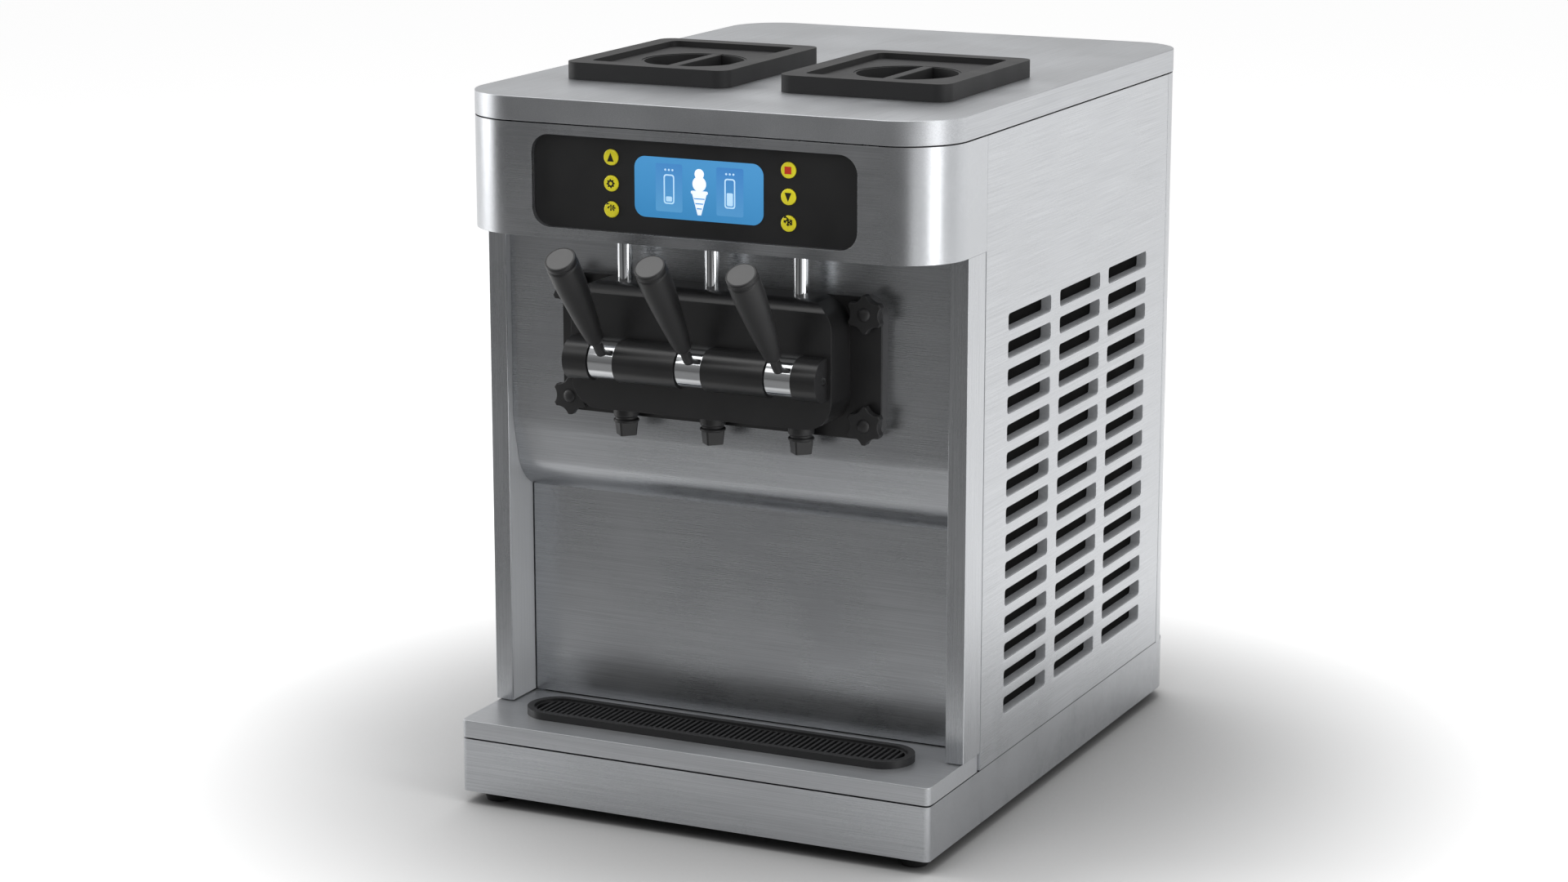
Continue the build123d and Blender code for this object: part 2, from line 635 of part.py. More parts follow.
def lever_neck():
    """Neck with a ball end and a thin stem, upright and set in front of the shaft."""
    neck = Cylinder(NECK_R, GRIP_START - NECK_BALL, align=BASE) + Sphere(NECK_R)
    neck += Pos(0, 0, STEM_START - NECK_BALL) * Cylinder(STEM_R, NECK_BALL - STEM_START, align=BASE)
    return Pos(0, -LEVER_SET, NECK_BALL) * neck


def lever_collar(x):
    """Chrome hub on the shaft, with a socket for the neck's ball and stem."""
    hub = rod("X", COLLAR_R, -COLLAR_W / 2, 0, 0, COLLAR_W)
    hub -= rod("X", SHAFT_R + RUN_FIT, -COLLAR_W / 2, 0, 0, COLLAR_W)
    return tilted(x, hub - lever_neck())


def lever_grip(x):
    """Tapered handle on its neck, with a ring groove under the cap."""
    top_r, top = GRIP_TAPER[-1]
    low_r, low = GRIP_TAPER[0]
    groove_r = top_r - GROOVE_DEPTH
    outline = [
        Polyline((0, GRIP_START), (low_r - GRIP_SHOULDER, GRIP_START), (low_r, low)),
        Spline(*GRIP_TAPER),
        Polyline((top_r, top), (groove_r, top), (groove_r, top + GROOVE_W), (CAP_R, top + GROOVE_W),
                 (CAP_R, LEVER_L - CAP_BEVEL), (CAP_R - CAP_BEVEL, LEVER_L), (0, LEVER_L),
                 (0, GRIP_START)),
    ]
    face = Plane.XZ * make_face(Wire(sum((piece.edges() for piece in outline), [])))
    return tilted(x, Pos(0, -LEVER_SET, 0) * revolve(face, Axis.Z) + lever_neck())


def plunger(x):
    """Valve rod: it seals the bore at its foot and runs up behind the fascia."""
    bar = rod("Z", PLUNGER_R, x, PLUNGER_Y, PLUNGER_LOW_Z, PLUNGER_TOP_Z - PLUNGER_LOW_Z)
    return chamfer(bar.edges().filter_by(GeomType.CIRCLE), EDGE_BEVEL)


def skirt_outline(radius, z):
    """Square with narrow cut corners that point along X and Y."""
    turns = [radians(quarter * 90 + side * NOZZLE_CORNER) for quarter in range(4) for side in (-1, 1)]
    corners = [(radius * cos(turn), radius * sin(turn)) for turn in turns]
    return Pos(0, 0, z) * make_face(Polyline(*corners, close=True))


def outlet_nozzles():
    """Three spouts: a collar, a groove, a lip and a square skirt that narrows to the mouth."""
    groove = BLOCK_LOW_Z - NOZZLE_COLLAR_H - NOZZLE_GROOVE_H
    skirt = groove - NOZZLE_LIP_H
    end = BLOCK_LOW_Z - NOZZLE_H
    nozzle = rod("Z", NOZZLE_R, 0, 0, groove + NOZZLE_GROOVE_H, NOZZLE_COLLAR_H)
    nozzle += rod("Z", NOZZLE_GROOVE_R, 0, 0, groove, NOZZLE_GROOVE_H)
    nozzle += rod("Z", NOZZLE_R, 0, 0, skirt, NOZZLE_LIP_H)
    nozzle += loft([skirt_outline(NOZZLE_END_R, end), skirt_outline(NOZZLE_SKIRT_R, skirt)], ruled=True)
    nozzle -= rod("Z", NOZZLE_BORE_R, 0, 0, end, NOZZLE_H)
    return [Pos(x, PLUNGER_Y, 0) * nozzle for x in LEVER_X]


def star_knob(x, z):
    """Six-pointed hand nut with hollows between its points and a domed boss."""
    star = Circle(KNOB_TIP_R)
    for spot in PolarLocations(KNOB_VALLEY_R + KNOB_HOLLOW_R, KNOB_LOBES):
        star -= spot * Circle(KNOB_HOLLOW_R)
    star = fillet(star.vertices(), KNOB_ROUND)
    back = FLANGE_Y - FIT_GAP
    front = back - KNOB_HUB_T - KNOB_T
    plane = Plane(origin=(x, front, z), x_dir=(1, 0, 0), z_dir=(0, -1, 0))
    knob = extrude(plane * star, amount=KNOB_T, dir=(0, 1, 0))
    knob = chamfer(knob.faces().sort_by(Axis.Y)[0].edges(), EDGE_BEVEL)
    boss = rod("Y", KNOB_BOSS_R, x, front - KNOB_BOSS_H, z, KNOB_BOSS_H)
    knob += fillet(boss.edges().sort_by(Axis.Y)[0], KNOB_BOSS_H - EDGE_BEVEL)
    knob += rod("Y", KNOB_HUB_R, x, back - KNOB_HUB_T, z, KNOB_HUB_T)
    return knob - rod("Y", STUD_R + RUN_FIT, x, front + WALL, z, back - front)


def head_studs():
    """Four studs with their heads behind the front panel."""
    front = FLANGE_Y - KNOB_HUB_T - KNOB_T + WALL
    back = FRONT_PANEL_Y + SHEET
    stud = rod("Y", STUD_R, 0, front, 0, back - front)
    stud += rod("Y", STUD_HEAD_R, 0, back, 0, STUD_HEAD_T)
    return [Pos(side * KNOB_X, 0, z) * stud for side in (-1, 1) for z in KNOB_Z]


# ---- hoppers ----------------------------------------------------------------------------


def hopper(side):
    """Mix tank that hangs by its flange in the cover, with an outlet spigot."""
    x = side * HOPPER_X
    tank = flat_slab(x, HOPPER_Y, HOPPER_W, HOPPER_L, HOPPER_LOW_Z, COVER_TOP + SHEET, HOPPER_R)
    tank += flat_slab(x, HOPPER_Y, HOPPER_W + 2 * HOPPER_FLANGE, HOPPER_L + 2 * HOPPER_FLANGE,
                      COVER_TOP, COVER_TOP + SHEET, HOPPER_R + HOPPER_FLANGE)
    tank -= flat_slab(x, HOPPER_Y, HOPPER_W - 2 * SHEET, HOPPER_L - 2 * SHEET,
                      HOPPER_LOW_Z + SHEET, COVER_TOP + SHEET, HOPPER_R - SHEET)
    spigot_x = side * BARREL_X
    tank += rod("Z", FEED_R - SHEET, spigot_x, HOPPER_Y, HOPPER_LOW_Z - SPIGOT_L, SPIGOT_L)
    return tank - rod("Z", FEED_BORE_R, spigot_x, HOPPER_Y, HOPPER_LOW_Z - SPIGOT_L,
                      SPIGOT_L + SHEET)


def hopper_lid(side):
    """Lid with a sunk top and a round finger pocket that a bar crosses."""
    x = side * HOPPER_X
    low = COVER_TOP + FIT_GAP / 2
    floor = COVER_TOP + LID_FLOOR_H
    top = COVER_TOP + LID_H
    lid = flat_slab(x, HOPPER_Y, LID_W, LID_L, low, top, LID_R)
    lid = fillet(lid.faces().sort_by(Axis.Z)[-1].edges(), EDGE_BEVEL)
    lid -= flat_slab(x, HOPPER_Y, LID_W - 2 * LID_WALL, LID_L - 2 * LID_WALL, low,
                     floor - LID_WALL, LID_R - LID_WALL)
    lid -= flat_slab(x, HOPPER_Y, LID_W - 2 * LID_RIM, LID_L - 2 * LID_RIM, floor, top,
                     LID_RECESS_R)
    lid += rod("Z", POCKET_R + LID_WALL, x, HOPPER_Y, floor - POCKET_DEPTH - LID_WALL,
               POCKET_DEPTH)
    pocket = rod("Z", POCKET_R, x, HOPPER_Y, floor - POCKET_DEPTH, POCKET_DEPTH)
    pocket += rod("Z", POCKET_RING_R, x, HOPPER_Y, floor - POCKET_RING_DEPTH, POCKET_RING_DEPTH)
    bar = block(x - POCKET_BAR_W / 2, x + POCKET_BAR_W / 2, HOPPER_Y - POCKET_RING_R,
                HOPPER_Y + POCKET_RING_R, floor - POCKET_DEPTH, floor)
    return lid - (pocket - bar)


# ---- freezing drive ---------------------------------------------------------------------


def saddle(x, y):
    """Foot that stands a barrel, gearbox or motor on the middle deck."""
    return block(x - SADDLE_W / 2, x + SADDLE_W / 2, y, y + SADDLE_T, MID_DECK_TOP, BARREL_Z)


def freezing_barrel(side):
    """Cylinder with an open mouth at the head, a closed rear end and a feed boss."""
    x = side * BARREL_X
    barrel = rod("Y", BARREL_R, x, BARREL_Y, BARREL_Z, BARREL_L)
    barrel += saddle(x, POST_Y[0] + POST) + saddle(x, BARREL_REAR_Y - 2 * SADDLE_T)
    boss_top = HOPPER_LOW_Z - SPIGOT_L - FEED_R
    barrel += rod("Z", FEED_R, x, HOPPER_Y, BARREL_Z, boss_top - BARREL_Z)
    barrel -= rod("Y", BARREL_BORE_R, x, BARREL_Y, BARREL_Z, BARREL_L - BARREL_END_T)
    barrel -= rod("Y", BEATER_SHAFT_R + RUN_FIT, x, BARREL_Y, BARREL_Z, BARREL_L)
    return barrel - rod("Z", FEED_BORE_R, x, HOPPER_Y, BARREL_Z, boss_top - BARREL_Z)


def feed_tubes():
    """Sleeves between the hoppers' spigots and the barrels' bosses."""
    low = HOPPER_LOW_Z - SPIGOT_L - FEED_R
    return [ring("Z", FEED_R, FEED_BORE_R, side * BARREL_X, HOPPER_Y, low, FEED_R)
            for side in (-1, 1)]


def beater(side):
    """Two helical scraper blades on end arms, driven from the rear."""
    front = BARREL_Y + GEARBOX_GAP
    rear = BARREL_REAR_Y - BARREL_END_T - GEARBOX_GAP
    length = rear - front
    middle_r = BEATER_R - BEATER_BLADE_W / 2
    path = Helix(length / BEATER_TURNS, length, middle_r)
    section = Plane(origin=path @ 0, x_dir=(1, 0, 0), z_dir=path % 0) * Rectangle(
        BEATER_BLADE_W, BEATER_BLADE_T)
    blade = sweep(section, path=path, is_frenet=True)
    arm = Box(2 * middle_r, 2 * BEATER_BLADE_T, BEATER_ARM_T)
    turn = 360.0 * BEATER_TURNS
    paddle = blade + Rot(0, 0, 180) * blade + Pos(0, 0, BEATER_ARM_T / 2) * arm
    paddle += Pos(0, 0, length - BEATER_ARM_T / 2) * Rot(0, 0, turn) * arm
    paddle += Cylinder(BEATER_SHAFT_R, length + GEARBOX_GAP + BEATER_SHAFT_R + BARREL_END_T
                       + GEARBOX_SOCKET, align=BASE)
    return Pos(side * BARREL_X, front, BARREL_Z) * TURN["Y"] * paddle


def gearbox(side):
    """Reduction gearbox in line with the barrel."""
    x = side * BARREL_X
    half = GEARBOX_W / 2
    box = block(x - half, x + half, GEARBOX_Y, MOTOR_Y, BARREL_Z - half, BARREL_Z + half)
    box = fillet(box.edges().filter_by(Axis.Y), BEATER_SHAFT_R)
    box += saddle(x, GEARBOX_Y + SADDLE_T)
    return box - rod("Y", BEATER_SHAFT_R + RUN_FIT, x, GEARBOX_Y, BARREL_Z,
                     GEARBOX_SOCKET + BEATER_SHAFT_R + 2 * GEARBOX_GAP)


def drive_motor(side):
    """Ribbed motor behind the gearbox."""
    x = side * BARREL_X
    motor = rod("Y", MOTOR_R, x, MOTOR_Y, BARREL_Z, MOTOR_L)
    for index in range(1, MOTOR_BAYS):
        y = MOTOR_Y + index * MOTOR_L / MOTOR_BAYS
        motor -= ring("Y", MOTOR_R + 1, MOTOR_R - 4, x, y, BARREL_Z, SADDLE_T / 2)
    return motor + saddle(x, MOTOR_Y) + saddle(x, MOTOR_Y + MOTOR_L - SADDLE_T)


# ---- cooling ----------------------------------------------------------------------------


def compressor():
    """Domed compressor pot on three feet."""
    low = PANEL_LOW_Z + COMPRESSOR_FOOT_H
    plate = low - COMPRESSOR_PLATE_T
    pot = rod("Z", COMPRESSOR_R, 0, 0, low, COMPRESSOR_H)
    pot = fillet(pot.edges().filter_by(GeomType.CIRCLE).sort_by(Axis.Z)[-1], COMPRESSOR_R / 2)
    pot += rod("Z", COMPRESSOR_R + COMPRESSOR_FOOT_R, 0, 0, plate, COMPRESSOR_PLATE_T)
    for spot in PolarLocations(COMPRESSOR_R - WALL, 3):
        pot += spot * rod("Z", COMPRESSOR_FOOT_R, 0, 0, PANEL_LOW_Z, plate - PANEL_LOW_Z)
    return Pos(COMPRESSOR_X, COMPRESSOR_Y, 0) * pot


def condenser():
    """Finned heat exchanger that faces the right side panel's vents."""
    y0 = FAN_Y - CONDENSER_L / 2
    core = block(CONDENSER_X + WALL, CONDENSER_X + CONDENSER_T - WALL, y0, y0 + CONDENSER_L,
                 PANEL_LOW_Z, PANEL_LOW_Z + CONDENSER_H)
    pitch = (CONDENSER_L - 2 * WALL) / (CONDENSER_FINS - 1)
    for index in range(CONDENSER_FINS):
        y = y0 + index * pitch
        core += block(CONDENSER_X, CONDENSER_X + CONDENSER_T, y, y + 2 * WALL,
                      PANEL_LOW_Z + 2 * WALL, PANEL_LOW_Z + CONDENSER_H - 2 * WALL)
    return core


def fan_motor():
    """Fan motor on its bracket, with the shaft that carries the fan."""
    start = FAN_X - FIT_GAP - FAN_MOTOR_L
    motor = rod("X", FAN_MOTOR_R, start, FAN_Y, FAN_Z, FAN_MOTOR_L)
    motor += block(start + SADDLE_T, start + 3 * SADDLE_T, FAN_Y - FAN_MOTOR_R, FAN_Y + FAN_MOTOR_R,
                   PANEL_LOW_Z, FAN_Z)
    return motor + rod("X", FAN_SHAFT_R, start, FAN_Y, FAN_Z, FAN_MOTOR_L + FAN_HUB_L / 2)


def fan_blade():
    """Five pitched blades on a hub."""
    fan = Cylinder(FAN_HUB_R, FAN_HUB_L, align=BASE)
    reach = FAN_R - FAN_HUB_R / 2
    blade = Pos(FAN_HUB_R / 2 + reach / 2, 0, FAN_HUB_L / 2) * Rot(FAN_PITCH, 0, 0) * Box(
        reach, FAN_BLADE_W, FAN_BLADE_T)
    for spot in PolarLocations(0, FAN_BLADES):
        fan += spot * blade
    fan -= Cylinder(FAN_SHAFT_R + RUN_FIT, FAN_HUB_L / 2 + FIT_GAP, align=BASE)
    return Pos(FAN_X, FAN_Y, FAN_Z) * TURN["X"] * fan


def power_inlet():
    """Mains inlet: a flanged socket with three pins in its well."""
    half_w = INLET_W / 2 - FIT_GAP / 2
    half_h = INLET_H / 2 - FIT_GAP / 2
    deep = BODY_D - INLET_DEPTH
    socket = block(INLET_X - half_w, INLET_X + half_w, deep, BODY_D, INLET_Z - half_h, INLET_Z + half_h)
    socket += block(INLET_X - half_w - INLET_FLANGE, INLET_X + half_w + INLET_FLANGE,
                    REAR_WALL_Y - INLET_FLANGE_T, REAR_WALL_Y, INLET_Z - half_h - WALL,
                    INLET_Z + half_h + WALL)
    socket -= block(INLET_X - half_w + WALL, INLET_X + half_w - WALL, deep + WALL, BODY_D,
                    INLET_Z - half_h + WALL, INLET_Z + half_h - WALL)
    for x, z in PIN_SPOTS:
        socket += block(INLET_X + x - PIN_W / 2, INLET_X + x + PIN_W / 2, deep + WALL, BODY_D - 2 * WALL,
                        INLET_Z + z - PIN_H / 2, INLET_Z + z + PIN_H / 2)
    return socket


# ---- drip tray --------------------------------------------------------------------------


def drip_tray():
    """Deep tray with a raised rim that lies on the shelf and a ledge for the grille."""
    top = SHELF_TOP + TRAY_RIM_H
    rim = stadium(TRAY_R, SHELF_TOP, top)
    rim = chamfer(rim.faces().sort_by(Axis.Z)[-1].edges(), TRAY_RIM_BEVEL)
    tray = rim + stadium(TRAY_WELL_R + TRAY_WALL, SHELF_TOP - TRAY_DEPTH, SHELF_TOP)
    tray -= stadium(TRAY_MOUTH_R, LEDGE_Z, top)
    return tray - stadium(TRAY_WELL_R, SHELF_TOP - TRAY_DEPTH + TRAY_WALL, LEDGE_Z)


def drip_grille():
    """Slotted grille: a frame and bars that run from front to back."""
    low = LEDGE_Z + FIT_GAP / 2
    outer_r = TRAY_MOUTH_R - FIT_GAP
    plate = stadium(outer_r, low, low + GRILLE_T)
    frame = plate - stadium(outer_r - GRILLE_FRAME_W, low, low + GRILLE_T)
    half = (TRAY_STRAIGHT + 2 * outer_r) / 2
    count = int(half / GRILLE_PITCH)
    bars = [block(i * GRILLE_PITCH - GRILLE_BAR_W / 2, i * GRILLE_PITCH + GRILLE_BAR_W / 2,
                  TRAY_Y - outer_r, TRAY_Y + outer_r, low, low + GRILLE_T)
            for i in range(-count, count + 1)]
    return frame + (plate & Compound(children=bars))


# ---- assembly ---------------------------------------------------------------------------


def assembly():
    """Every node's name and its solids in the working frame."""
    right_pillar = pillar_right()
    right_panel = side_panel_right()
    nodes = {
        "base_plinth": base_plinth(),
        "rubber_feet": rubber_feet(),
        "front_shelf": front_shelf(),
        "pillar_left": other_side(right_pillar),
        "pillar_right": right_pillar,
        "side_panel_left": other_side(right_panel),
        "side_panel_right": right_panel,
        "rear_panel": rear_panel(),
        "upper_front_panel": upper_front_panel(),
        "splash_panel": splash_panel(),
        "top_cover": top_cover(),
        "chassis_frame": chassis_frame(),
        "fascia": fascia(),
        "control_panel": control_panel(),
        "display_screen": display_screen(),
        "control_board": control_board(),
        "valve_body": valve_body(),
        "head_seals": head_seals(),
        "head_studs": head_studs(),
        "lever_shaft": lever_shaft(),
        "outlet_nozzles": outlet_nozzles(),
        "feed_tubes": feed_tubes(),
        "compressor": compressor(),
        "condenser": condenser(),
        "fan_motor": fan_motor(),
        "fan_blade": fan_blade(),
        "power_inlet": power_inlet(),
        "drip_tray": drip_tray(),
        "drip_grille": drip_grille(),
    }
    for column, x in zip(("left", "right"), BUTTON_X):
        for row, z in zip(("top", "middle", "bottom"), BUTTON_Z):
            nodes[f"button_{column}_{row}"] = button(x, z)
    for place, x in zip(("left", "middle", "right"), LEVER_X):
        nodes[f"lever_grip_{place}"] = lever_grip(x)
        nodes[f"lever_collar_{place}"] = lever_collar(x)
        nodes[f"plunger_{place}"] = plunger(x)
    for name, side in (("left", -1), ("right", 1)):
        for row, z in zip(("lower", "upper"), KNOB_Z):
            nodes[f"star_knob_{name}_{row}"] = star_knob(side * KNOB_X, z)
        nodes[f"hopper_{name}"] = hopper(side)
        nodes[f"hopper_lid_{name}"] = hopper_lid(side)
        nodes[f"freezing_barrel_{name}"] = freezing_barrel(side)
        nodes[f"beater_{name}"] = beater(side)
        nodes[f"gearbox_{name}"] = gearbox(side)
        nodes[f"drive_motor_{name}"] = drive_motor(side)
    return nodes


def object_shift(nodes):
    """Move from the working frame to the middle of the box, on the surface under the feet."""
    reach = nodes["lever_grip_middle"].bounding_box().min.Y
    return Pos(0, -(reach + BODY_D) / 2, FOOT_H)


def export(nodes):
    """Write one STEP file for each node."""
    os.makedirs("parts", exist_ok=True)
    shift = object_shift(nodes)
    for name, shape in nodes.items():
        solids = shape if isinstance(shape, list) else [shape]
        moved = [shift * solid for piece in solids for solid in piece.solids()]
        whole = moved[0] if len(moved) == 1 else Compound(children=moved)
        export_step(whole, f"parts/{name}.step")


export(assembly())
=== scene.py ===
"""Dresses the table-top soft-serve machine: casing, controls, dispensing head, lids and drip tray.

Every length is in millimetres in the maker's working frame: X right, Y back from the front edge of
the plinth, Z up from its underside.  ``Bench`` turns that into the model's metres.
"""

from __future__ import annotations

import json
import logging
import math
from dataclasses import dataclass
from enum import Enum
from typing import Callable, Iterable, Sequence

import bmesh
import bpy
from mathutils import Matrix, Vector

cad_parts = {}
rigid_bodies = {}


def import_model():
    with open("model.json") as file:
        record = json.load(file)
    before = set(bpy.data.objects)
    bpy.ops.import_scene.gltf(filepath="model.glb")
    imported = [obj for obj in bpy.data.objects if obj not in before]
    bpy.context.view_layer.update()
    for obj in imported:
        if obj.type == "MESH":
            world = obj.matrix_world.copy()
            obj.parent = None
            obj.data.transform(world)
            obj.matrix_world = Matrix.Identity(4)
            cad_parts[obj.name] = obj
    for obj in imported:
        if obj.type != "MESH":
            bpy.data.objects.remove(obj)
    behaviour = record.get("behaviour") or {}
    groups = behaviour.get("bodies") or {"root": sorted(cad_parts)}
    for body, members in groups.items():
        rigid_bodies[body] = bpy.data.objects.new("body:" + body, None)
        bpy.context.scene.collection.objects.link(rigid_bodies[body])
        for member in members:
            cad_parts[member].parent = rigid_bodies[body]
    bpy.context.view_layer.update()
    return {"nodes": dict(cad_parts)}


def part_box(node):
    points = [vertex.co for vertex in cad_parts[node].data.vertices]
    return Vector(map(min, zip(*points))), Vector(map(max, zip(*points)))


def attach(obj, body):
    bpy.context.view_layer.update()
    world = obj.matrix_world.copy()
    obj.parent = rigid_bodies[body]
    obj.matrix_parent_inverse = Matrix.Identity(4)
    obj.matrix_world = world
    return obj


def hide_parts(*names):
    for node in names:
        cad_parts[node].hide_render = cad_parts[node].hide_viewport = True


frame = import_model()

LOG = logging.getLogger("soft_serve")
Point2 = tuple[float, float]
Loop = list[Point2]
Colour = tuple[float, float, float]


class Face(Enum):
    """The plane that an outline is drawn in; it is extruded along the third axis."""

    PLAN = "xy"
    FRONT = "xz"
    SIDE = "yz"


class Axis(Enum):
    """A direction to turn or repeat about."""

    X = 0
    Y = 1
    Z = 2


# ---- places -------------------------------------------------------------------------------------


def hex_colour(code: str) -> Colour:
    """Linear colour of a hex code.

    Args:
        code: Six hex digits.

    Returns:
        Linear red, green and blue.
    """
    parts = [int(code[i : i + 2], 16) / 255 for i in (0, 2, 4)]
    return tuple(c / 12.92 if c <= 0.04045 else ((c + 0.055) / 1.055) ** 2.4 for c in parts)


class Bench:
    """Turns working millimetres into the model's metres, from where the plinth stands."""

    def __init__(self) -> None:
        """Read the plinth's front lower edge."""
        low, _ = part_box("base_plinth")
        self.origin = Vector((0.0, low[1], low[2]))
        self.matrix = Matrix.Translation(self.origin) @ Matrix.Scale(0.001, 4)

    def metres(self, x: float, y: float, z: float) -> Vector:
        """Model position of a working point."""
        return self.matrix @ Vector((x, y, z))

    def span(self, node: str) -> "Span":
        """Working box of a node of the frame."""
        inverse = self.matrix.inverted()
        low, high = (inverse @ Vector(corner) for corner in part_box(node))
        return Span(low.x, high.x, low.y, high.y, low.z, high.z)


@dataclass(frozen=True)
class Span:
    """Lowest and highest place along each axis, mm."""

    x0: float
    x1: float
    y0: float
    y1: float
    z0: float
    z1: float

    @property
    def cx(self) -> float:
        """Middle along X."""
        return (self.x0 + self.x1) / 2

    @property
    def cy(self) -> float:
        """Middle along Y."""
        return (self.y0 + self.y1) / 2

    @property
    def cz(self) -> float:
        """Middle along Z."""
        return (self.z0 + self.z1) / 2


BENCH = Bench()


# ---- outlines -----------------------------------------------------------------------------------


def arc(cx: float, cy: float, radius: float, start: float, end: float, steps: int) -> Loop:
    """Points on an arc.

    Args:
        cx: Centre along the first axis.
        cy: Centre along the second axis.
        radius: Radius.
        start: First angle, degrees.
        end: Last angle, degrees.
        steps: Number of spans.

    Returns:
        steps + 1 points.
    """
    turns = [math.radians(start + (end - start) * i / steps) for i in range(steps + 1)]
    return [(cx + radius * math.cos(t), cy + radius * math.sin(t)) for t in turns]


def curve(guides: Sequence[Point2], steps: int) -> Loop:
    """Points on a Bezier curve.

    Args:
        guides: Its control points.
        steps: Number of spans.

    Returns:
        steps + 1 points.
    """
    order = len(guides) - 1
    places: Loop = []
    for i in range(steps + 1):
        t = i / steps
        shares = [math.comb(order, k) * t ** k * (1 - t) ** (order - k) for k in range(order + 1)]
        places.append((sum(w * g[0] for w, g in zip(shares, guides)), sum(w * g[1] for w, g in zip(shares, guides))))
    return places


def rounded(x0: float, x1: float, y0: float, y1: float, radii: Sequence[float] | float, steps: int = 8) -> Loop:
    """Rectangle with rounded corners.

    Args:
        x0: Low first coordinate.
        x1: High first coordinate.
        y0: Low second coordinate.
        y1: High second coordinate.
        radii: One radius, or four from the low-low corner round to the low-high one.
        steps: Spans in each corner.

    Returns:
        A closed outline, anticlockwise.
    """
    if isinstance(radii, (int, float)):
        radii = (radii,) * 4
    corners = [(x0, y0, 1, 1, 180), (x1, y0, -1, 1, 270), (x1, y1, -1, -1, 0), (x0, y1, 1, -1, 90)]
    outline: Loop = []
    for (x, y, sx, sy, start), radius in zip(corners, radii):
        if radius <= 0:
            outline.append((x, y))
        else:
            outline += arc(x + sx * radius, y + sy * radius, radius, start, start + 90, steps)
    return outline


def circle(cx: float, cy: float, radius: float, steps: int = 48) -> Loop:
    """Round outline."""
    return arc(cx, cy, radius, 0, 360, steps)[:-1]


def stadium(cx: float, cy: float, length: float, radius: float, steps: int = 20) -> Loop:
    """Slot outline that runs along the first axis."""
    half = length / 2 - radius
    return arc(cx + half, cy, radius, -90, 90, steps) + arc(cx - half, cy, radius, 90, 270, steps)


def star(points: int, tip: float, valley: float, hollow: float, steps: int = 10) -> Loop:
    """Star with round hollows between its points.

    Args:
        points: Number of points.
        tip: Radius at a point.
        valley: Radius at the bottom of a hollow.
        hollow: Radius of a hollow.
        steps: Spans in each hollow.

    Returns:
        A closed outline with one point straight up.
    """
    outline: Loop = []
    centre = valley + hollow
    half = math.acos((centre**2 + tip**2 - hollow**2) / (2 * centre * tip))
    reach = math.asin(tip * math.sin(half) / hollow)
    turn = math.radians(90 - 180 / points)
    for i in range(points):
        middle = turn + 2 * math.pi * i / points
        for j in range(steps + 1):
            bend = reach * (2 * j / steps - 1)
            u, v = centre - hollow * math.cos(bend), hollow * math.sin(bend)
            outline.append((u * math.cos(middle) - v * math.sin(middle), u * math.sin(middle) + v * math.cos(middle)))
    return outline


# ---- meshes -------------------------------------------------------------------------------------


def spot(face: Face, u: float, v: float, w: float) -> Vector:
    """A point of an outline at a depth along the third axis."""
    if face is Face.PLAN:
        return Vector((u, v, w))
    if face is Face.FRONT:
        return Vector((u, w, v))
    return Vector((w, u, v))


def prism(loops: Sequence[Loop], face: Face, low: float, high: float) -> bmesh.types.BMesh:
    """Solid with an outline and holes.

    Args:
        loops: The outline, then its holes.
        face: The plane of the outline.
        low: Start along the third axis.
        high: End along the third axis.

    Returns:
        A closed mesh.
    """
    bm = bmesh.new()
    edges = []
    for loop in loops:
        verts = [bm.verts.new(spot(face, u, v, low)) for u, v in loop]
        edges += [bm.edges.new((a, b)) for a, b in zip(verts, verts[1:] + verts[:1])]
    bmesh.ops.triangle_fill(bm, use_beauty=True, use_dissolve=False, edges=edges)
    made = bmesh.ops.extrude_face_region(bm, geom=list(bm.faces))
    moved = [item for item in made["geom"] if isinstance(item, bmesh.types.BMVert)]
    bmesh.ops.translate(bm, verts=moved, vec=spot(face, 0, 0, high - low))
    bmesh.ops.recalc_face_normals(bm, faces=list(bm.faces))
    return bm


def lathe(profile: Sequence[Point2], steps: int = 48) -> bmesh.types.BMesh:
    """Turned solid about Z.

    Args:
        profile: (radius, height) from one end on the axis, or closed in a ring, to the other.
        steps: Spans in a turn.

    Returns:
        A closed mesh.
    """
    bm = bmesh.new()
    verts = [bm.verts.new((r, 0.0, z)) for r, z in profile]
    edges = [bm.edges.new(pair) for pair in zip(verts, verts[1:])]
    if min(profile[0][0], profile[-1][0]) > 0:
        edges.append(bm.edges.new((verts[-1], verts[0])))
    bmesh.ops.spin(bm, geom=verts + edges, axis=(0, 0, 1), cent=(0, 0, 0), dvec=(0, 0, 0),
                   angle=2 * math.pi, steps=steps, use_merge=True)
    bmesh.ops.remove_doubles(bm, verts=list(bm.verts), dist=0.001)
    bmesh.ops.recalc_face_normals(bm, faces=list(bm.faces))
    return bm


def soften(bm: bmesh.types.BMesh, width: float, segments: int = 2, angle: float = 40.0,
           keep: Callable[[bmesh.types.BMEdge], bool] | None = None) -> bmesh.types.BMesh:
    """Round the sharp edges.

    Args:
        bm: The mesh.
        width: Width of the rounding, mm.
        segments: Faces across it.
        angle: Edges sharper than this are rounded, degrees.
        keep: Says which of them are rounded; all when left out.

    Returns:
        The same mesh.
    """
    limit = math.radians(angle)
    edges = [e for e in bm.edges if len(e.link_faces) == 2 and e.calc_face_angle(0.0) > limit]
    if keep is not None:
        edges = [e for e in edges if keep(e)]
    if edges:
        bmesh.ops.bevel(bm, geom=edges, offset=width, offset_type="OFFSET", segments=segments,
                        profile=0.5, affect="EDGES", clamp_overlap=True)
    return bm


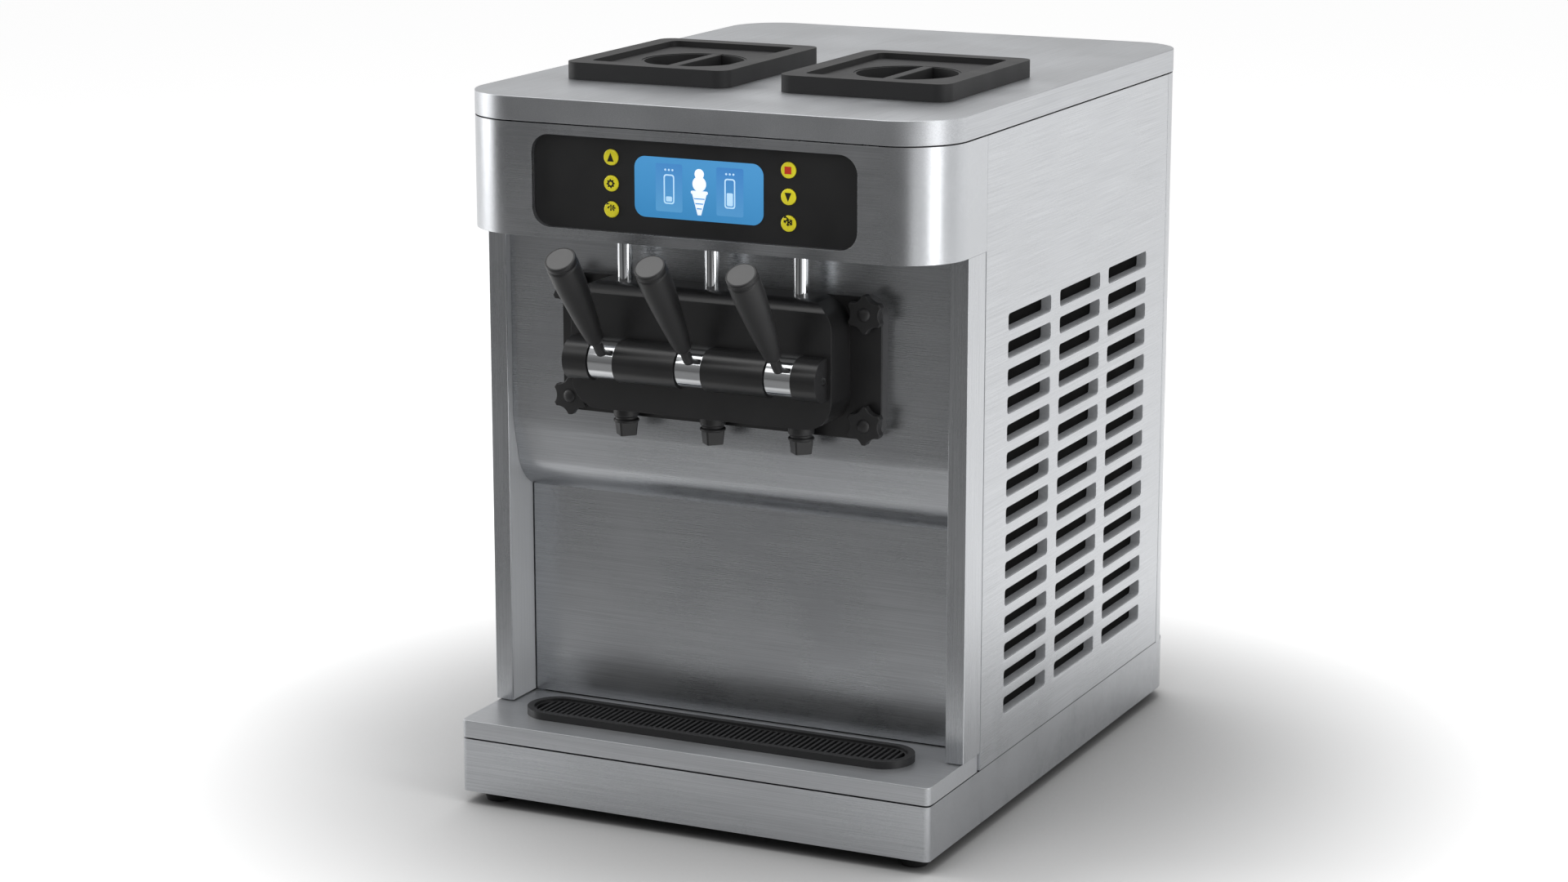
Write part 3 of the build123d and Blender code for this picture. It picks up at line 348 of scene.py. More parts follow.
def turned(bm: bmesh.types.BMesh, axis: Axis) -> bmesh.types.BMesh:
    """Lay a solid that stands along Z along another axis."""
    if axis is Axis.X:
        bm.transform(Matrix.Rotation(math.pi / 2, 4, "Y"))
    if axis is Axis.Y:
        bm.transform(Matrix.Rotation(-math.pi / 2, 4, "X"))
    return bm


def shifted(bm: bmesh.types.BMesh, x: float, y: float, z: float) -> bmesh.types.BMesh:
    """Move a solid."""
    bm.transform(Matrix.Translation((x, y, z)))
    return bm


def joined(parts: Iterable[bmesh.types.BMesh]) -> bmesh.types.BMesh:
    """Several solids in one mesh."""
    whole = bmesh.new()
    for part in parts:
        mesh = bpy.data.meshes.new("part")
        part.to_mesh(mesh)
        part.free()
        whole.from_mesh(mesh)
        bpy.data.meshes.remove(mesh)
    return whole


def loose_object(bm: bmesh.types.BMesh, name: str) -> bpy.types.Object:
    """Put a mesh in the scene as an object, in working millimetres."""
    mesh = bpy.data.meshes.new(name)
    bm.to_mesh(mesh)
    bm.free()
    obj = bpy.data.objects.new(name, mesh)
    bpy.context.scene.collection.objects.link(obj)
    return obj


def evaluated(obj: bpy.types.Object) -> bpy.types.Mesh:
    """The object's mesh with its modifiers applied."""
    bpy.context.view_layer.update()
    graph = bpy.context.evaluated_depsgraph_get()
    return bpy.data.meshes.new_from_object(obj.evaluated_get(graph), depsgraph=graph)


def carve(base: bmesh.types.BMesh, tools: Sequence[tuple[str, bmesh.types.BMesh]]) -> bmesh.types.BMesh:
    """Add and cut solids.

    Args:
        base: The first solid.
        tools: "UNION" or "DIFFERENCE" with each further solid, in order.

    Returns:
        The result.
    """
    target = loose_object(base, "carve")
    cutters = []
    for operation, bm in tools:
        cutter = loose_object(bm, "cutter")
        modifier = target.modifiers.new("carve", "BOOLEAN")
        modifier.operation = operation
        modifier.solver = "EXACT"
        modifier.object = cutter
        cutters.append(cutter)
    mesh = evaluated(target)
    result = bmesh.new()
    result.from_mesh(mesh)
    for obj in [target, *cutters]:
        data = obj.data
        bpy.data.objects.remove(obj)
        bpy.data.meshes.remove(data)
    bpy.data.meshes.remove(mesh)
    bmesh.ops.remove_doubles(result, verts=list(result.verts), dist=0.002)
    bmesh.ops.dissolve_limit(result, angle_limit=math.radians(0.5), verts=list(result.verts),
                             edges=list(result.edges))
    return result


# ---- geometry-node repeats ----------------------------------------------------------------------


class Repeat:
    """Repeats a mesh along a line or round an axis with a Geometry Nodes tree."""

    def __init__(self, name: str, polar: bool) -> None:
        """Build the tree.

        Args:
            name: Name of the tree.
            polar: Round an axis through the origin when true, along a line when false.
        """
        self.tree = bpy.data.node_groups.new(name, "GeometryNodeTree")
        self.polar = polar
        face = self.tree.interface
        face.new_socket("Geometry", in_out="OUTPUT", socket_type="NodeSocketGeometry")
        face.new_socket("Geometry", in_out="INPUT", socket_type="NodeSocketGeometry")
        self.ids = {
            "count": face.new_socket("Count", in_out="INPUT", socket_type="NodeSocketInt").identifier,
            "step": face.new_socket("Step", in_out="INPUT", socket_type="NodeSocketVector").identifier,
            "finish": face.new_socket("Finish", in_out="INPUT", socket_type="NodeSocketMaterial").identifier,
        }
        self._wire()

    def _wire(self) -> None:
        """Place and join the nodes."""
        nodes, links = self.tree.nodes, self.tree.links
        source = nodes.new("NodeGroupInput")
        sink = nodes.new("NodeGroupOutput")
        line = nodes.new("GeometryNodeMeshLine")
        line.mode = "OFFSET"
        points = nodes.new("GeometryNodeMeshToPoints")
        place = nodes.new("GeometryNodeInstanceOnPoints")
        realise = nodes.new("GeometryNodeRealizeInstances")
        weld = nodes.new("GeometryNodeMergeByDistance")
        weld.inputs["Distance"].default_value = 0.002
        paint = nodes.new("GeometryNodeSetMaterial")
        links.new(source.outputs["Count"], line.inputs["Count"])
        links.new(line.outputs["Mesh"], points.inputs["Mesh"])
        links.new(points.outputs["Points"], place.inputs["Points"])
        links.new(source.outputs["Geometry"], place.inputs["Instance"])
        if self.polar:
            index = nodes.new("GeometryNodeInputIndex")
            scale = nodes.new("ShaderNodeVectorMath")
            scale.operation = "SCALE"
            links.new(source.outputs["Step"], scale.inputs[0])
            links.new(index.outputs["Index"], scale.inputs["Scale"])
            links.new(scale.outputs["Vector"], place.inputs["Rotation"])
        else:
            links.new(source.outputs["Step"], line.inputs["Offset"])
        links.new(place.outputs["Instances"], realise.inputs["Geometry"])
        links.new(realise.outputs["Geometry"], weld.inputs["Geometry"])
        links.new(weld.outputs["Geometry"], paint.inputs["Geometry"])
        links.new(source.outputs["Finish"], paint.inputs["Material"])
        links.new(paint.outputs["Geometry"], sink.inputs["Geometry"])

    def run(self, bm: bmesh.types.BMesh, count: int, step: tuple[float, float, float],
            finish: bpy.types.Material) -> bmesh.types.BMesh:
        """Repeat a mesh.

        Args:
            bm: The mesh to repeat.
            count: How many there are in the end.
            step: Offset from one to the next, mm, or the turn in radians.
            finish: Their material.

        Returns:
            The repeated mesh.
        """
        obj = loose_object(bm, "repeat")
        obj.data.materials.append(finish)
        modifier = obj.modifiers.new("repeat", "NODES")
        modifier.node_group = self.tree
        modifier[self.ids["count"]] = count
        modifier[self.ids["step"]] = step
        modifier[self.ids["finish"]] = finish
        mesh = evaluated(obj)
        result = bmesh.new()
        result.from_mesh(mesh)
        obj.modifiers.clear()
        data = obj.data
        bpy.data.objects.remove(obj)
        bpy.data.meshes.remove(data)
        bpy.data.meshes.remove(mesh)
        return result


# ---- finishes -----------------------------------------------------------------------------------


class Grain(Enum):
    """The direction that brushing runs in."""

    ALONG_X = (0.35, 60.0, 60.0)
    ALONG_Y = (60.0, 0.35, 60.0)
    ALONG_Z = (60.0, 60.0, 0.35)
    NONE = (8.0, 8.0, 8.0)


class Shader:
    """Small helper round one material's nodes."""

    def __init__(self, name: str) -> None:
        """Start a material with one Principled shader and Object coordinates."""
        self.material = bpy.data.materials.new(name)
        self.material.use_nodes = True
        self.nodes = self.material.node_tree.nodes
        self.links = self.material.node_tree.links
        self.base = self.nodes["Principled BSDF"]
        self.coords = self.nodes.new("ShaderNodeTexCoord")

    def noise(self, scale: tuple[float, float, float], size: float, detail: float = 3.0) -> bpy.types.NodeSocket:
        """Noise in metres, stretched.

        Args:
            scale: Stretch along each axis.
            size: Noise scale.
            detail: Octaves.

        Returns:
            The value socket.
        """
        mapping = self.nodes.new("ShaderNodeMapping")
        mapping.inputs["Scale"].default_value = scale
        noise = self.nodes.new("ShaderNodeTexNoise")
        noise.inputs["Scale"].default_value = size
        noise.inputs["Detail"].default_value = detail
        self.links.new(self.coords.outputs["Object"], mapping.inputs["Vector"])
        self.links.new(mapping.outputs["Vector"], noise.inputs["Vector"])
        return noise.outputs["Fac"]

    def ranged(self, value: bpy.types.NodeSocket, low: float, high: float) -> bpy.types.NodeSocket:
        """Map the middle of a noise to a range."""
        node = self.nodes.new("ShaderNodeMapRange")
        node.inputs["From Min"].default_value = 0.25
        node.inputs["From Max"].default_value = 0.75
        node.inputs["To Min"].default_value = low
        node.inputs["To Max"].default_value = high
        self.links.new(value, node.inputs["Value"])
        return node.outputs["Result"]

    def blend(self, value: bpy.types.NodeSocket, low: Colour, high: Colour) -> bpy.types.NodeSocket:
        """Mix two colours by a noise."""
        node = self.nodes.new("ShaderNodeMix")
        node.data_type = "RGBA"
        node.inputs[6].default_value = (*low, 1.0)
        node.inputs[7].default_value = (*high, 1.0)
        self.links.new(value, node.inputs[0])
        return node.outputs[2]

    def product(self, a: bpy.types.NodeSocket, b: bpy.types.NodeSocket) -> bpy.types.NodeSocket:
        """Multiply two values."""
        node = self.nodes.new("ShaderNodeMath")
        node.operation = "MULTIPLY"
        self.links.new(a, node.inputs[0])
        self.links.new(b, node.inputs[1])
        return node.outputs[0]

    def bump(self, height: bpy.types.NodeSocket, strength: float, distance: float) -> None:
        """Raise the surface by a noise."""
        node = self.nodes.new("ShaderNodeBump")
        node.inputs["Strength"].default_value = strength
        node.inputs["Distance"].default_value = distance
        self.links.new(height, node.inputs["Height"])
        self.links.new(node.outputs["Normal"], self.base.inputs["Normal"])

    def set(self, **values: float) -> None:
        """Set constants on the shader's own sockets."""
        for key, value in values.items():
            self.base.inputs[key.replace("_", " ")].default_value = value


@dataclass(frozen=True)
class BrushedSteel:
    """Sheet metal with fine parallel scratches and faint clouds."""

    name: str
    grain: Grain
    dark: Colour
    light: Colour
    rough: float = 0.28
    spread: float = 0.07
    bump: float = 0.10
    metallic: float = 0.93

    def material(self) -> bpy.types.Material:
        """Build the material."""
        shader = Shader(self.name)
        streaks = shader.noise(self.grain.value, 26.0, 4.0)
        hair = shader.noise(tuple(4 * s for s in self.grain.value), 34.0, 2.0)
        clouds = shader.noise((1.0, 1.0, 1.0), 9.0, 5.0)
        mixed = shader.product(shader.ranged(streaks, 0.1, 1.0), shader.ranged(clouds, 0.6, 1.0))
        shader.links.new(shader.blend(mixed, self.dark, self.light), shader.base.inputs["Base Color"])
        rough = shader.product(shader.ranged(hair, 0.85, 1.15),
                               shader.ranged(clouds, self.rough - self.spread, self.rough + self.spread))
        shader.links.new(rough, shader.base.inputs["Roughness"])
        shader.bump(hair, self.bump, 0.0002)
        shader.set(Metallic=self.metallic)
        return shader.material


@dataclass(frozen=True)
class Polish:
    """Plated metal."""

    name: str
    colour: Colour
    rough: float = 0.08

    def material(self) -> bpy.types.Material:
        """Build the material."""
        shader = Shader(self.name)
        smears = shader.noise((1.0, 1.0, 1.0), 60.0, 4.0)
        shader.links.new(shader.ranged(smears, self.rough * 0.6, self.rough * 1.6),
                         shader.base.inputs["Roughness"])
        low = tuple(0.92 * c for c in self.colour)
        shader.links.new(shader.blend(smears, low, self.colour), shader.base.inputs["Base Color"])
        shader.set(Metallic=1.0)
        return shader.material


@dataclass(frozen=True)
class Moulding:
    """Moulded plastic or rubber with a fine spark-eroded texture."""

    name: str
    colour: Colour
    rough: float = 0.45
    texture: float = 0.25
    grain_size: float = 900.0
    specular: float = 0.5
    coat: float = 0.0

    def material(self) -> bpy.types.Material:
        """Build the material."""
        shader = Shader(self.name)
        fine = shader.noise((1.0, 1.0, 1.0), self.grain_size, 2.0)
        broad = shader.noise((1.0, 1.0, 1.0), 22.0, 4.0)
        low = tuple(0.86 * c for c in self.colour)
        high = tuple(1.14 * c for c in self.colour)
        shader.links.new(shader.blend(shader.ranged(broad, 0.0, 1.0), low, high),
                         shader.base.inputs["Base Color"])
        rough = shader.product(shader.ranged(fine, 0.94, 1.06),
                               shader.ranged(broad, self.rough * 0.88, self.rough * 1.12))
        shader.links.new(rough, shader.base.inputs["Roughness"])
        shader.bump(fine, self.texture, 0.00008)
        shader.base.inputs["Specular IOR Level"].default_value = self.specular
        shader.base.inputs["Coat Weight"].default_value = self.coat
        return shader.material


@dataclass(frozen=True)
class Glow:
    """Lit glass whose colour runs from one corner to the other."""

    name: str
    low: Colour
    high: Colour
    span: Span
    strength: float = 0.55

    def material(self) -> bpy.types.Material:
        """Build the material."""
        shader = Shader(self.name)
        start = BENCH.metres(self.span.x0, self.span.y0, self.span.z0)
        end = BENCH.metres(self.span.x1, self.span.y0, self.span.z1)
        mapping = shader.nodes.new("ShaderNodeMapping")
        mapping.inputs["Location"].default_value = (-start.x / (end.x - start.x), 0, -start.z / (end.z - start.z))
        mapping.inputs["Scale"].default_value = (1 / (end.x - start.x), 0, 1 / (end.z - start.z))
        split = shader.nodes.new("ShaderNodeSeparateXYZ")
        half = shader.nodes.new("ShaderNodeMath")
        half.operation = "MULTIPLY_ADD"
        half.inputs[1].default_value = 0.75
        quarter = shader.nodes.new("ShaderNodeMath")
        quarter.operation = "MULTIPLY"
        quarter.inputs[1].default_value = 0.25
        shader.links.new(shader.coords.outputs["Object"], mapping.inputs["Vector"])
        shader.links.new(mapping.outputs["Vector"], split.inputs["Vector"])
        shader.links.new(split.outputs["X"], quarter.inputs[0])
        shader.links.new(split.outputs["Z"], half.inputs[0])
        shader.links.new(quarter.outputs[0], half.inputs[2])
        colour = shader.blend(half.outputs[0], self.low, self.high)
        shader.links.new(colour, shader.base.inputs["Base Color"])
        shader.links.new(colour, shader.base.inputs["Emission Color"])
        shader.set(Roughness=0.12)
        shader.base.inputs["Emission Strength"].default_value = self.strength
        return shader.material


class Finishes:
    """All the machine's materials, made once."""

    def __init__(self) -> None:
        """Make them."""
        steel_dark, steel_light = hex_colour("a8aaad"), hex_colour("c8cacd")
        self.front_steel = BrushedSteel("front_steel", Grain.ALONG_X, steel_dark, steel_light).material()
        self.side_steel = BrushedSteel("side_steel", Grain.ALONG_Y, steel_dark, steel_light).material()
        self.top_steel = BrushedSteel("top_steel", Grain.ALONG_Y, steel_dark, steel_light, 0.38).material()
        self.shelf_steel = BrushedSteel("shelf_steel", Grain.ALONG_X, steel_dark, steel_light, 0.36, 0.07, 0.1,
                                        0.7).material()
        self.pillar_steel = BrushedSteel("pillar_steel", Grain.ALONG_Z, steel_dark, steel_light).material()
        # Painted light: a lighter, less metallic copy of the steel, so the pillars' inner walls look lit from the
        # right.
        self.painted_lit_steel = BrushedSteel("painted_lit_steel", Grain.ALONG_Z, hex_colour("cfd1d4"), hex_colour("e3e5e7"), 0.4,
                                        metallic=0.3).material()
        self.vent_steel = BrushedSteel("vent_steel", Grain.NONE, hex_colour("a6a8ab"), hex_colour("bcbec1"), 0.5,
                                       metallic=0.15).material()
        self.tank_steel = BrushedSteel("tank_steel", Grain.NONE, steel_dark, steel_light, 0.3).material()
        self.chrome = Polish("chrome", hex_colour("e3e5e7")).material()
        self.turned_steel = Polish("turned_steel", hex_colour("d5d7d9"), 0.16).material()
        self.head_black = Moulding("head_black", hex_colour("1d1d1e"), 0.32, 0.12, specular=0.7).material()
        # Painted light: a lighter black for the band round the flange's side, so that side reads lit.
        self.painted_lit_black = Moulding("painted_lit_black", hex_colour("3c3c3d"), 0.3, 0.1, specular=0.8).material()
        self.grip_black = Moulding("grip_black", hex_colour("1c1c1d"), 0.5, 0.3).material()
        self.knob_black = Moulding("knob_black", hex_colour("202021"), 0.5, 0.35).material()
        self.cap_grey = Moulding("cap_grey", hex_colour("5e5e5e"), 0.55, 0.2).material()
        self.lid_black = Moulding("lid_black", hex_colour("212122"), 0.62, 0.4).material()
        self.tray_black = Moulding("tray_black", hex_colour("222223"), 0.48, 0.3).material()
        self.control_black = Moulding("control_black", hex_colour("1a1a1b"), 0.5, 0.12, 1500.0).material()
        self.button_yellow = Moulding("button_yellow", hex_colour("f4e823"), 0.4, 0.05, coat=0.2).material()
        self.icon_black = Moulding("icon_black", hex_colour("1c1c10"), 0.45, 0.05).material()
        self.icon_red = Moulding("icon_red", hex_colour("d83318"), 0.45, 0.05).material()
        self.foot_rubber = Moulding("foot_rubber", hex_colour("19191a"), 0.75, 0.5).material()
        self.seal_white = Moulding("seal_white", hex_colour("dedacd"), 0.6, 0.2).material()
        self.zinc = BrushedSteel("zinc", Grain.NONE, hex_colour("6e7174"), hex_colour("909396"), 0.5).material()
        # Painted shade: near-black for pads behind the vents and strips in the seams, standing in for the shade inside
        # the casing.
        self.painted_shade_black = Moulding("painted_shade_black", hex_colour("0a0a0a"), 0.95, 0.6, 500.0, 0.1).material()
        self.paint_black = Moulding("paint_black", hex_colour("17181a"), 0.4, 0.15).material()
        self.paint_grey = Moulding("paint_grey", hex_colour("55595d"), 0.5, 0.3).material()
        self.paddle_white = Moulding("paddle_white", hex_colour("e6e4dc"), 0.45, 0.1).material()
        self.board_green = Moulding("board_green", hex_colour("1d5a38"), 0.4, 0.1).material()
        self.fins = BrushedSteel("fins", Grain.ALONG_Z, hex_colour("8d9092"), hex_colour("b0b3b5")).material()


# ---- pieces -------------------------------------------------------------------------------------


class Maker:
    """Turns meshes into finished pieces that ride on the frame."""

    def __init__(self, finishes: Finishes) -> None:
        """Keep the finishes and the repeat trees."""
        self.finishes = finishes
        self.row = Repeat("line_repeat", polar=False)
        self.wheel = Repeat("wheel_repeat", polar=True)

    def piece(self, name: str, bm: bmesh.types.BMesh, finish: bpy.types.Material, body: str = "root",
              stands_for: Sequence[str] = (), slot: str | None = None, sharp: float = 46.0) -> bpy.types.Object:
        """Finish a mesh and let it ride.

        Args:
            name: The piece's name.
            bm: Its mesh in working millimetres.
            finish: Its material.
            body: The body that it moves with.
            stands_for: Nodes of the frame that it is shown in place of.
            slot: The record's material slot; not used.
            sharp: Edges sharper than this stay crisp, degrees.

        Returns:
            The piece.
        """
        obj = loose_object(bm, name)
        obj.data.transform(BENCH.matrix)
        obj.data.materials.clear()
        obj.data.materials.append(finish)
        for polygon in obj.data.polygons:
            polygon.material_index = 0
            polygon.use_smooth = True
        obj.data.set_sharp_from_angle(angle=math.radians(sharp))
        weighted = obj.modifiers.new("weighted", "WEIGHTED_NORMAL")
        weighted.keep_sharp = True
        mesh = evaluated(obj)
        obj.modifiers.clear()
        old = obj.data
        obj.data = mesh
        mesh.name = name
        bpy.data.meshes.remove(old)
        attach(obj, body)
        if stands_for:
            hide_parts(*stands_for)
        LOG.info("%s: %d faces on %s", name, len(obj.data.polygons), body)
        return obj

    def dress(self, nodes: Iterable[str], finish: bpy.types.Material) -> None:
        """Give nodes of the frame a material."""
        for name in nodes:
            mesh = frame["nodes"][name].data
            mesh.materials.clear()
            mesh.materials.append(finish)
            LOG.info("%s: dressed", name)


def body_outline(x: float, y0: float, y1: float, front: float, rear: float, steps: int = 16) -> Loop:
    """Plan of the casing with its own corner radius at the front and the rear."""
    return rounded(-x, x, y0, y1, (front, front, rear, rear), steps)


def mirrored(bm: bmesh.types.BMesh) -> bmesh.types.BMesh:
    """The same solid on the other side of the machine."""
    bm.transform(Matrix.Scale(-1, 4, (1, 0, 0)))
    bmesh.ops.reverse_faces(bm, faces=list(bm.faces))
    return bm


@dataclass
class Casing:
    """Plinth, shelf, pillars, panels and top cover."""

    make: Maker
    sheet: float = 1.5
    wall: float = 2.0
    bevel: float = 0.9
    front_r: float = 6.0
    plinth_rear_r: float = 45.0
    fascia_r: float = 67.0
    rear_r: float = 60.0
    vent_w: float = 118.0
    vent_h: float = 17.7
    vent_r: float = 4.0
    vent_pitch_y: float = 144.0
    vent_pitch_z: float = 29.1
    vent_top: float = 520.2
    vent_rows: int = 15
    vent_columns: int = 3
    rear_vent_h: float = 9.0
    rear_vent_pitch: float = 22.0
    rear_vent_low: float = 190.0
    rear_vent_rows: int = 9
    tray_inset: float = 6.9
    crease: tuple[Point2, ...] = ((91.0, 398.0), (91.0, 391.0), (91.6, 386.0), (93.0, 380.0))
    foot: tuple[Point2, ...] = ((101.5, 345.0), (105.2, 329.0), (117.0, 317.0), (131.0, 310.0))
    corner_gap: float = 1.4
    seam: float = 1.3
    liner: float = 0.4

    def build(self) -> None:
        """Make every piece of the casing."""
        self.plinth()
        self.shelf()
        self.pillars()
        self.side_panels()
        self.rear_panel()
        self.front_panels()
        self.cover()
        self.feet()

    def plinth(self) -> None:
        """Folded tray with a lip."""
        s = BENCH.span("base_plinth")
        outer = prism([body_outline(s.x1, s.y0, s.y1, self.front_r, self.plinth_rear_r)], Face.PLAN, s.z0, s.z1)
        outer = soften(outer, self.bevel, 2)
        w = self.wall
        inner = prism([body_outline(s.x1 - w, s.y0 + w, s.y1 - w, self.front_r - w, self.plinth_rear_r - w)],
                      Face.PLAN, s.z0 + w, s.z1 - w)
        lip = 20.0
        mouth = prism([body_outline(s.x1 - lip, s.y0 + lip, s.y1 - lip, 0, self.plinth_rear_r - lip)],
                      Face.PLAN, s.z1 - w - 1, s.z1 + 1)
        bm = carve(outer, [("DIFFERENCE", inner), ("DIFFERENCE", mouth)])
        self.make.piece("plinth", bm, self.make.finishes.front_steel, "root", ["base_plinth"], "brushed_steel")

    def shelf(self) -> None:
        """Hollow shelf with the tray's opening."""
        s = BENCH.span("front_shelf")
        t = BENCH.span("drip_tray")
        depth = BENCH.span("pillar_right").y1 - 5.0
        inset = self.tray_inset
        hole = stadium(t.cx, t.cy, (t.x1 - t.x0) - 2 * inset, (t.y1 - t.y0) / 2 - inset, 24)
        outline = rounded(s.x0, s.x1, s.y0, depth, (self.front_r, self.front_r, 0, 0), 8)
        top = prism([outline, hole], Face.PLAN, s.z1 - self.wall, s.z1)
        skirt_in = rounded(s.x0 + self.wall, s.x1 - self.wall, s.y0 + self.wall, depth - self.wall,
                           (self.front_r - self.wall, self.front_r - self.wall, 0, 0), 8)
        skirt = prism([outline, skirt_in], Face.PLAN, s.z0 + self.seam, s.z1 - self.wall)
        tongue = prism([rounded(-252.4, 252.4, depth - 1, s.y1, 0)], Face.PLAN, s.z1 - self.wall, s.z1)
        bm = carve(top, [("UNION", skirt), ("UNION", tongue)])
        soften(bm, self.bevel, 2, keep=lambda e: all(v.co.y < depth - 3 for v in e.verts))
        self.make.piece("shelf", bm, self.make.finishes.shelf_steel, "root", ["front_shelf"], "brushed_steel")

    def pillars(self) -> None:
        """Two channels on set-back feet, with inner walls beside the splash panel in lighter steel as painted light,
        and black strips in their seams as painted shade.
        """
        s = BENCH.span("pillar_right")
        side = BENCH.span("side_panel_right")
        low = s.z0 + self.sheet
        mid = side.y0 - self.seam
        front = [(s.x0, s.y0), (s.x1, s.y0), (s.x1, mid), (s.x1 - self.sheet, mid),
                 (s.x1 - self.sheet, s.y0 + self.sheet), (s.x0, s.y0 + self.sheet)]
        for name, flip in (("pillar_right", False), ("pillar_left", True)):
            channel = soften(prism([front], Face.PLAN, low, s.z1), 0.9, 2)
            foot = prism([rounded(s.x0 + 3, s.x1 - 6, s.y0 + 3, mid - 3, 0)], Face.PLAN, s.z0, low + self.sheet)
            bm = joined([channel, foot])
            inner = prism([rounded(s.x0, s.x0 + self.sheet, s.y0 + self.sheet - 0.02, s.y1, 0)], Face.PLAN, low, s.z1)
            # Painted shade: a black strip set inside the seam behind the side panel's front edge.
            shade = prism([rounded(s.x1 - 4, s.x1 - 1.2, mid, side.y0, 0)], Face.PLAN, low, side.z1)
            if flip:
                bm, inner, shade = mirrored(bm), mirrored(inner), mirrored(shade)
            f = self.make.finishes
            self.make.piece(f"{name}_sheet", bm, f.pillar_steel, "root", [name], "brushed_steel")
            # The inner wall wears the lighter steel, which is painted light.
            self.make.piece(f"{name}_inner_wall", inner, f.painted_lit_steel, "root", (), "brushed_steel")
            self.make.piece(f"{name}_seam_shade", shade, f.painted_shade_black, "root", (), "inlet_plastic")

    def vent_cell(self, x_out: float, x_in: float, y: float, z: float) -> bmesh.types.BMesh:
        """One vent with the strip of panel round it.

        Args:
            x_out: Outer face.
            x_in: Inner face.
            y: Centre along Y.
            z: Centre along Z.

        Returns:
            An open mesh that meets its neighbours edge to edge.
        """
        half_y, half_z = self.vent_pitch_y / 2, self.vent_pitch_z / 2
        hole = rounded(y - self.vent_w / 2, y + self.vent_w / 2, z - self.vent_h / 2, z + self.vent_h / 2,
                       self.vent_r, 6)
        cell = prism([rounded(y - half_y, y + half_y, z - half_z, z + half_z, 0), hole], Face.SIDE, x_in, x_out)
        border = [f for f in cell.faces
                  if all(abs(abs(v.co.y - y) - half_y) < 0.01 for v in f.verts)
                  or all(abs(abs(v.co.z - z) - half_z) < 0.01 for v in f.verts)]
        bmesh.ops.delete(cell, geom=border, context="FACES")
        return soften(cell, 0.5, 2, keep=lambda e: all(v.co.x > x_out - 0.01 for v in e.verts))

    def vent_liner(self, x_out: float, x_in: float, y: float, z: float) -> bmesh.types.BMesh:
        """Thin lining of one vent's edges."""
        w, h = self.vent_w / 2 - 0.03, self.vent_h / 2 - 0.03
        t, r = self.liner, self.vent_r
        return prism([rounded(y - w, y + w, z - h, z + h, r, 6),
                      rounded(y - w + t, y + w - t, z - h + t, z + h - t, r - t, 6)], Face.SIDE, x_in, x_out - 0.8)

    def side_panels(self) -> None:
        """Thick panels with their vents."""
        s = BENCH.span("side_panel_right")
        f = self.make.finishes
        field_y0 = s.cy - self.vent_pitch_y * self.vent_columns / 2
        field_y1 = s.cy + self.vent_pitch_y * self.vent_columns / 2
        field_z1 = self.vent_top + self.vent_pitch_z / 2
        field_z0 = field_z1 - self.vent_pitch_z * self.vent_rows
        for name, flip in (("side_panel_right", False), ("side_panel_left", True)):
            rim = prism([rounded(s.y0, s.y1, s.z0 + self.seam, s.z1, 0), rounded(field_y0, field_y1, field_z0, field_z1, 0)],
                        Face.SIDE, s.x0, s.x1)
            inner = [face for face in rim.faces
                     if all(field_y0 - 0.01 < v.co.y < field_y1 + 0.01 for v in face.verts)
                     and all(field_z0 - 0.01 < v.co.z < field_z1 + 0.01 for v in face.verts)
                     and abs(face.normal.x) < 0.5]
            bmesh.ops.delete(rim, geom=inner, context="FACES")
            soften(rim, self.bevel, 2, keep=lambda e: all(v.co.x > s.x1 - 0.01 for v in e.verts))
            cell = self.vent_cell(s.x1, s.x0, field_y0 + self.vent_pitch_y / 2, self.vent_top)
            column = self.make.row.run(cell, self.vent_rows, (0, 0, -self.vent_pitch_z), f.side_steel)
            grid = self.make.row.run(column, self.vent_columns, (0, self.vent_pitch_y, 0), f.side_steel)
            bm = joined([rim, grid])
            bmesh.ops.remove_doubles(bm, verts=list(bm.verts), dist=0.005)
            if flip:
                bm = mirrored(bm)
            self.make.piece(f"{name}_sheet", bm, f.side_steel, "root", [name], "brushed_steel", 40.0)
            lining = self.vent_liner(s.x1, s.x0, field_y0 + self.vent_pitch_y / 2, self.vent_top)
            lining = self.make.row.run(lining, self.vent_rows, (0, 0, -self.vent_pitch_z), f.vent_steel)
            lining = self.make.row.run(lining, self.vent_columns, (0, self.vent_pitch_y, 0), f.vent_steel)
            if flip:
                lining = mirrored(lining)
            self.make.piece(f"{name}_vent_edges", lining, f.vent_steel, "root", (), "brushed_steel", 40.0)
            # Painted shade: a black pad behind the vents for the dark inside, and a black strip in the gap under the
            # panel.
            pad = prism([rounded(field_y0 + 4, field_y1 - 4, field_z0 + 2, field_z1 - 2, 3)], Face.SIDE,
                        s.x0 - 6, s.x0 - 0.4)
            shade = prism([rounded(s.y0, s.y1, s.z0, s.z0 + self.seam, 0)], Face.SIDE, s.x1 - 4, s.x1 - 1.2)
            pad = joined([soften(pad, 1.0), shade])
            if flip:
                pad = mirrored(pad)
            self.make.piece(f"{name}_shade_pad", pad, f.painted_shade_black, "root", (), "inlet_plastic")

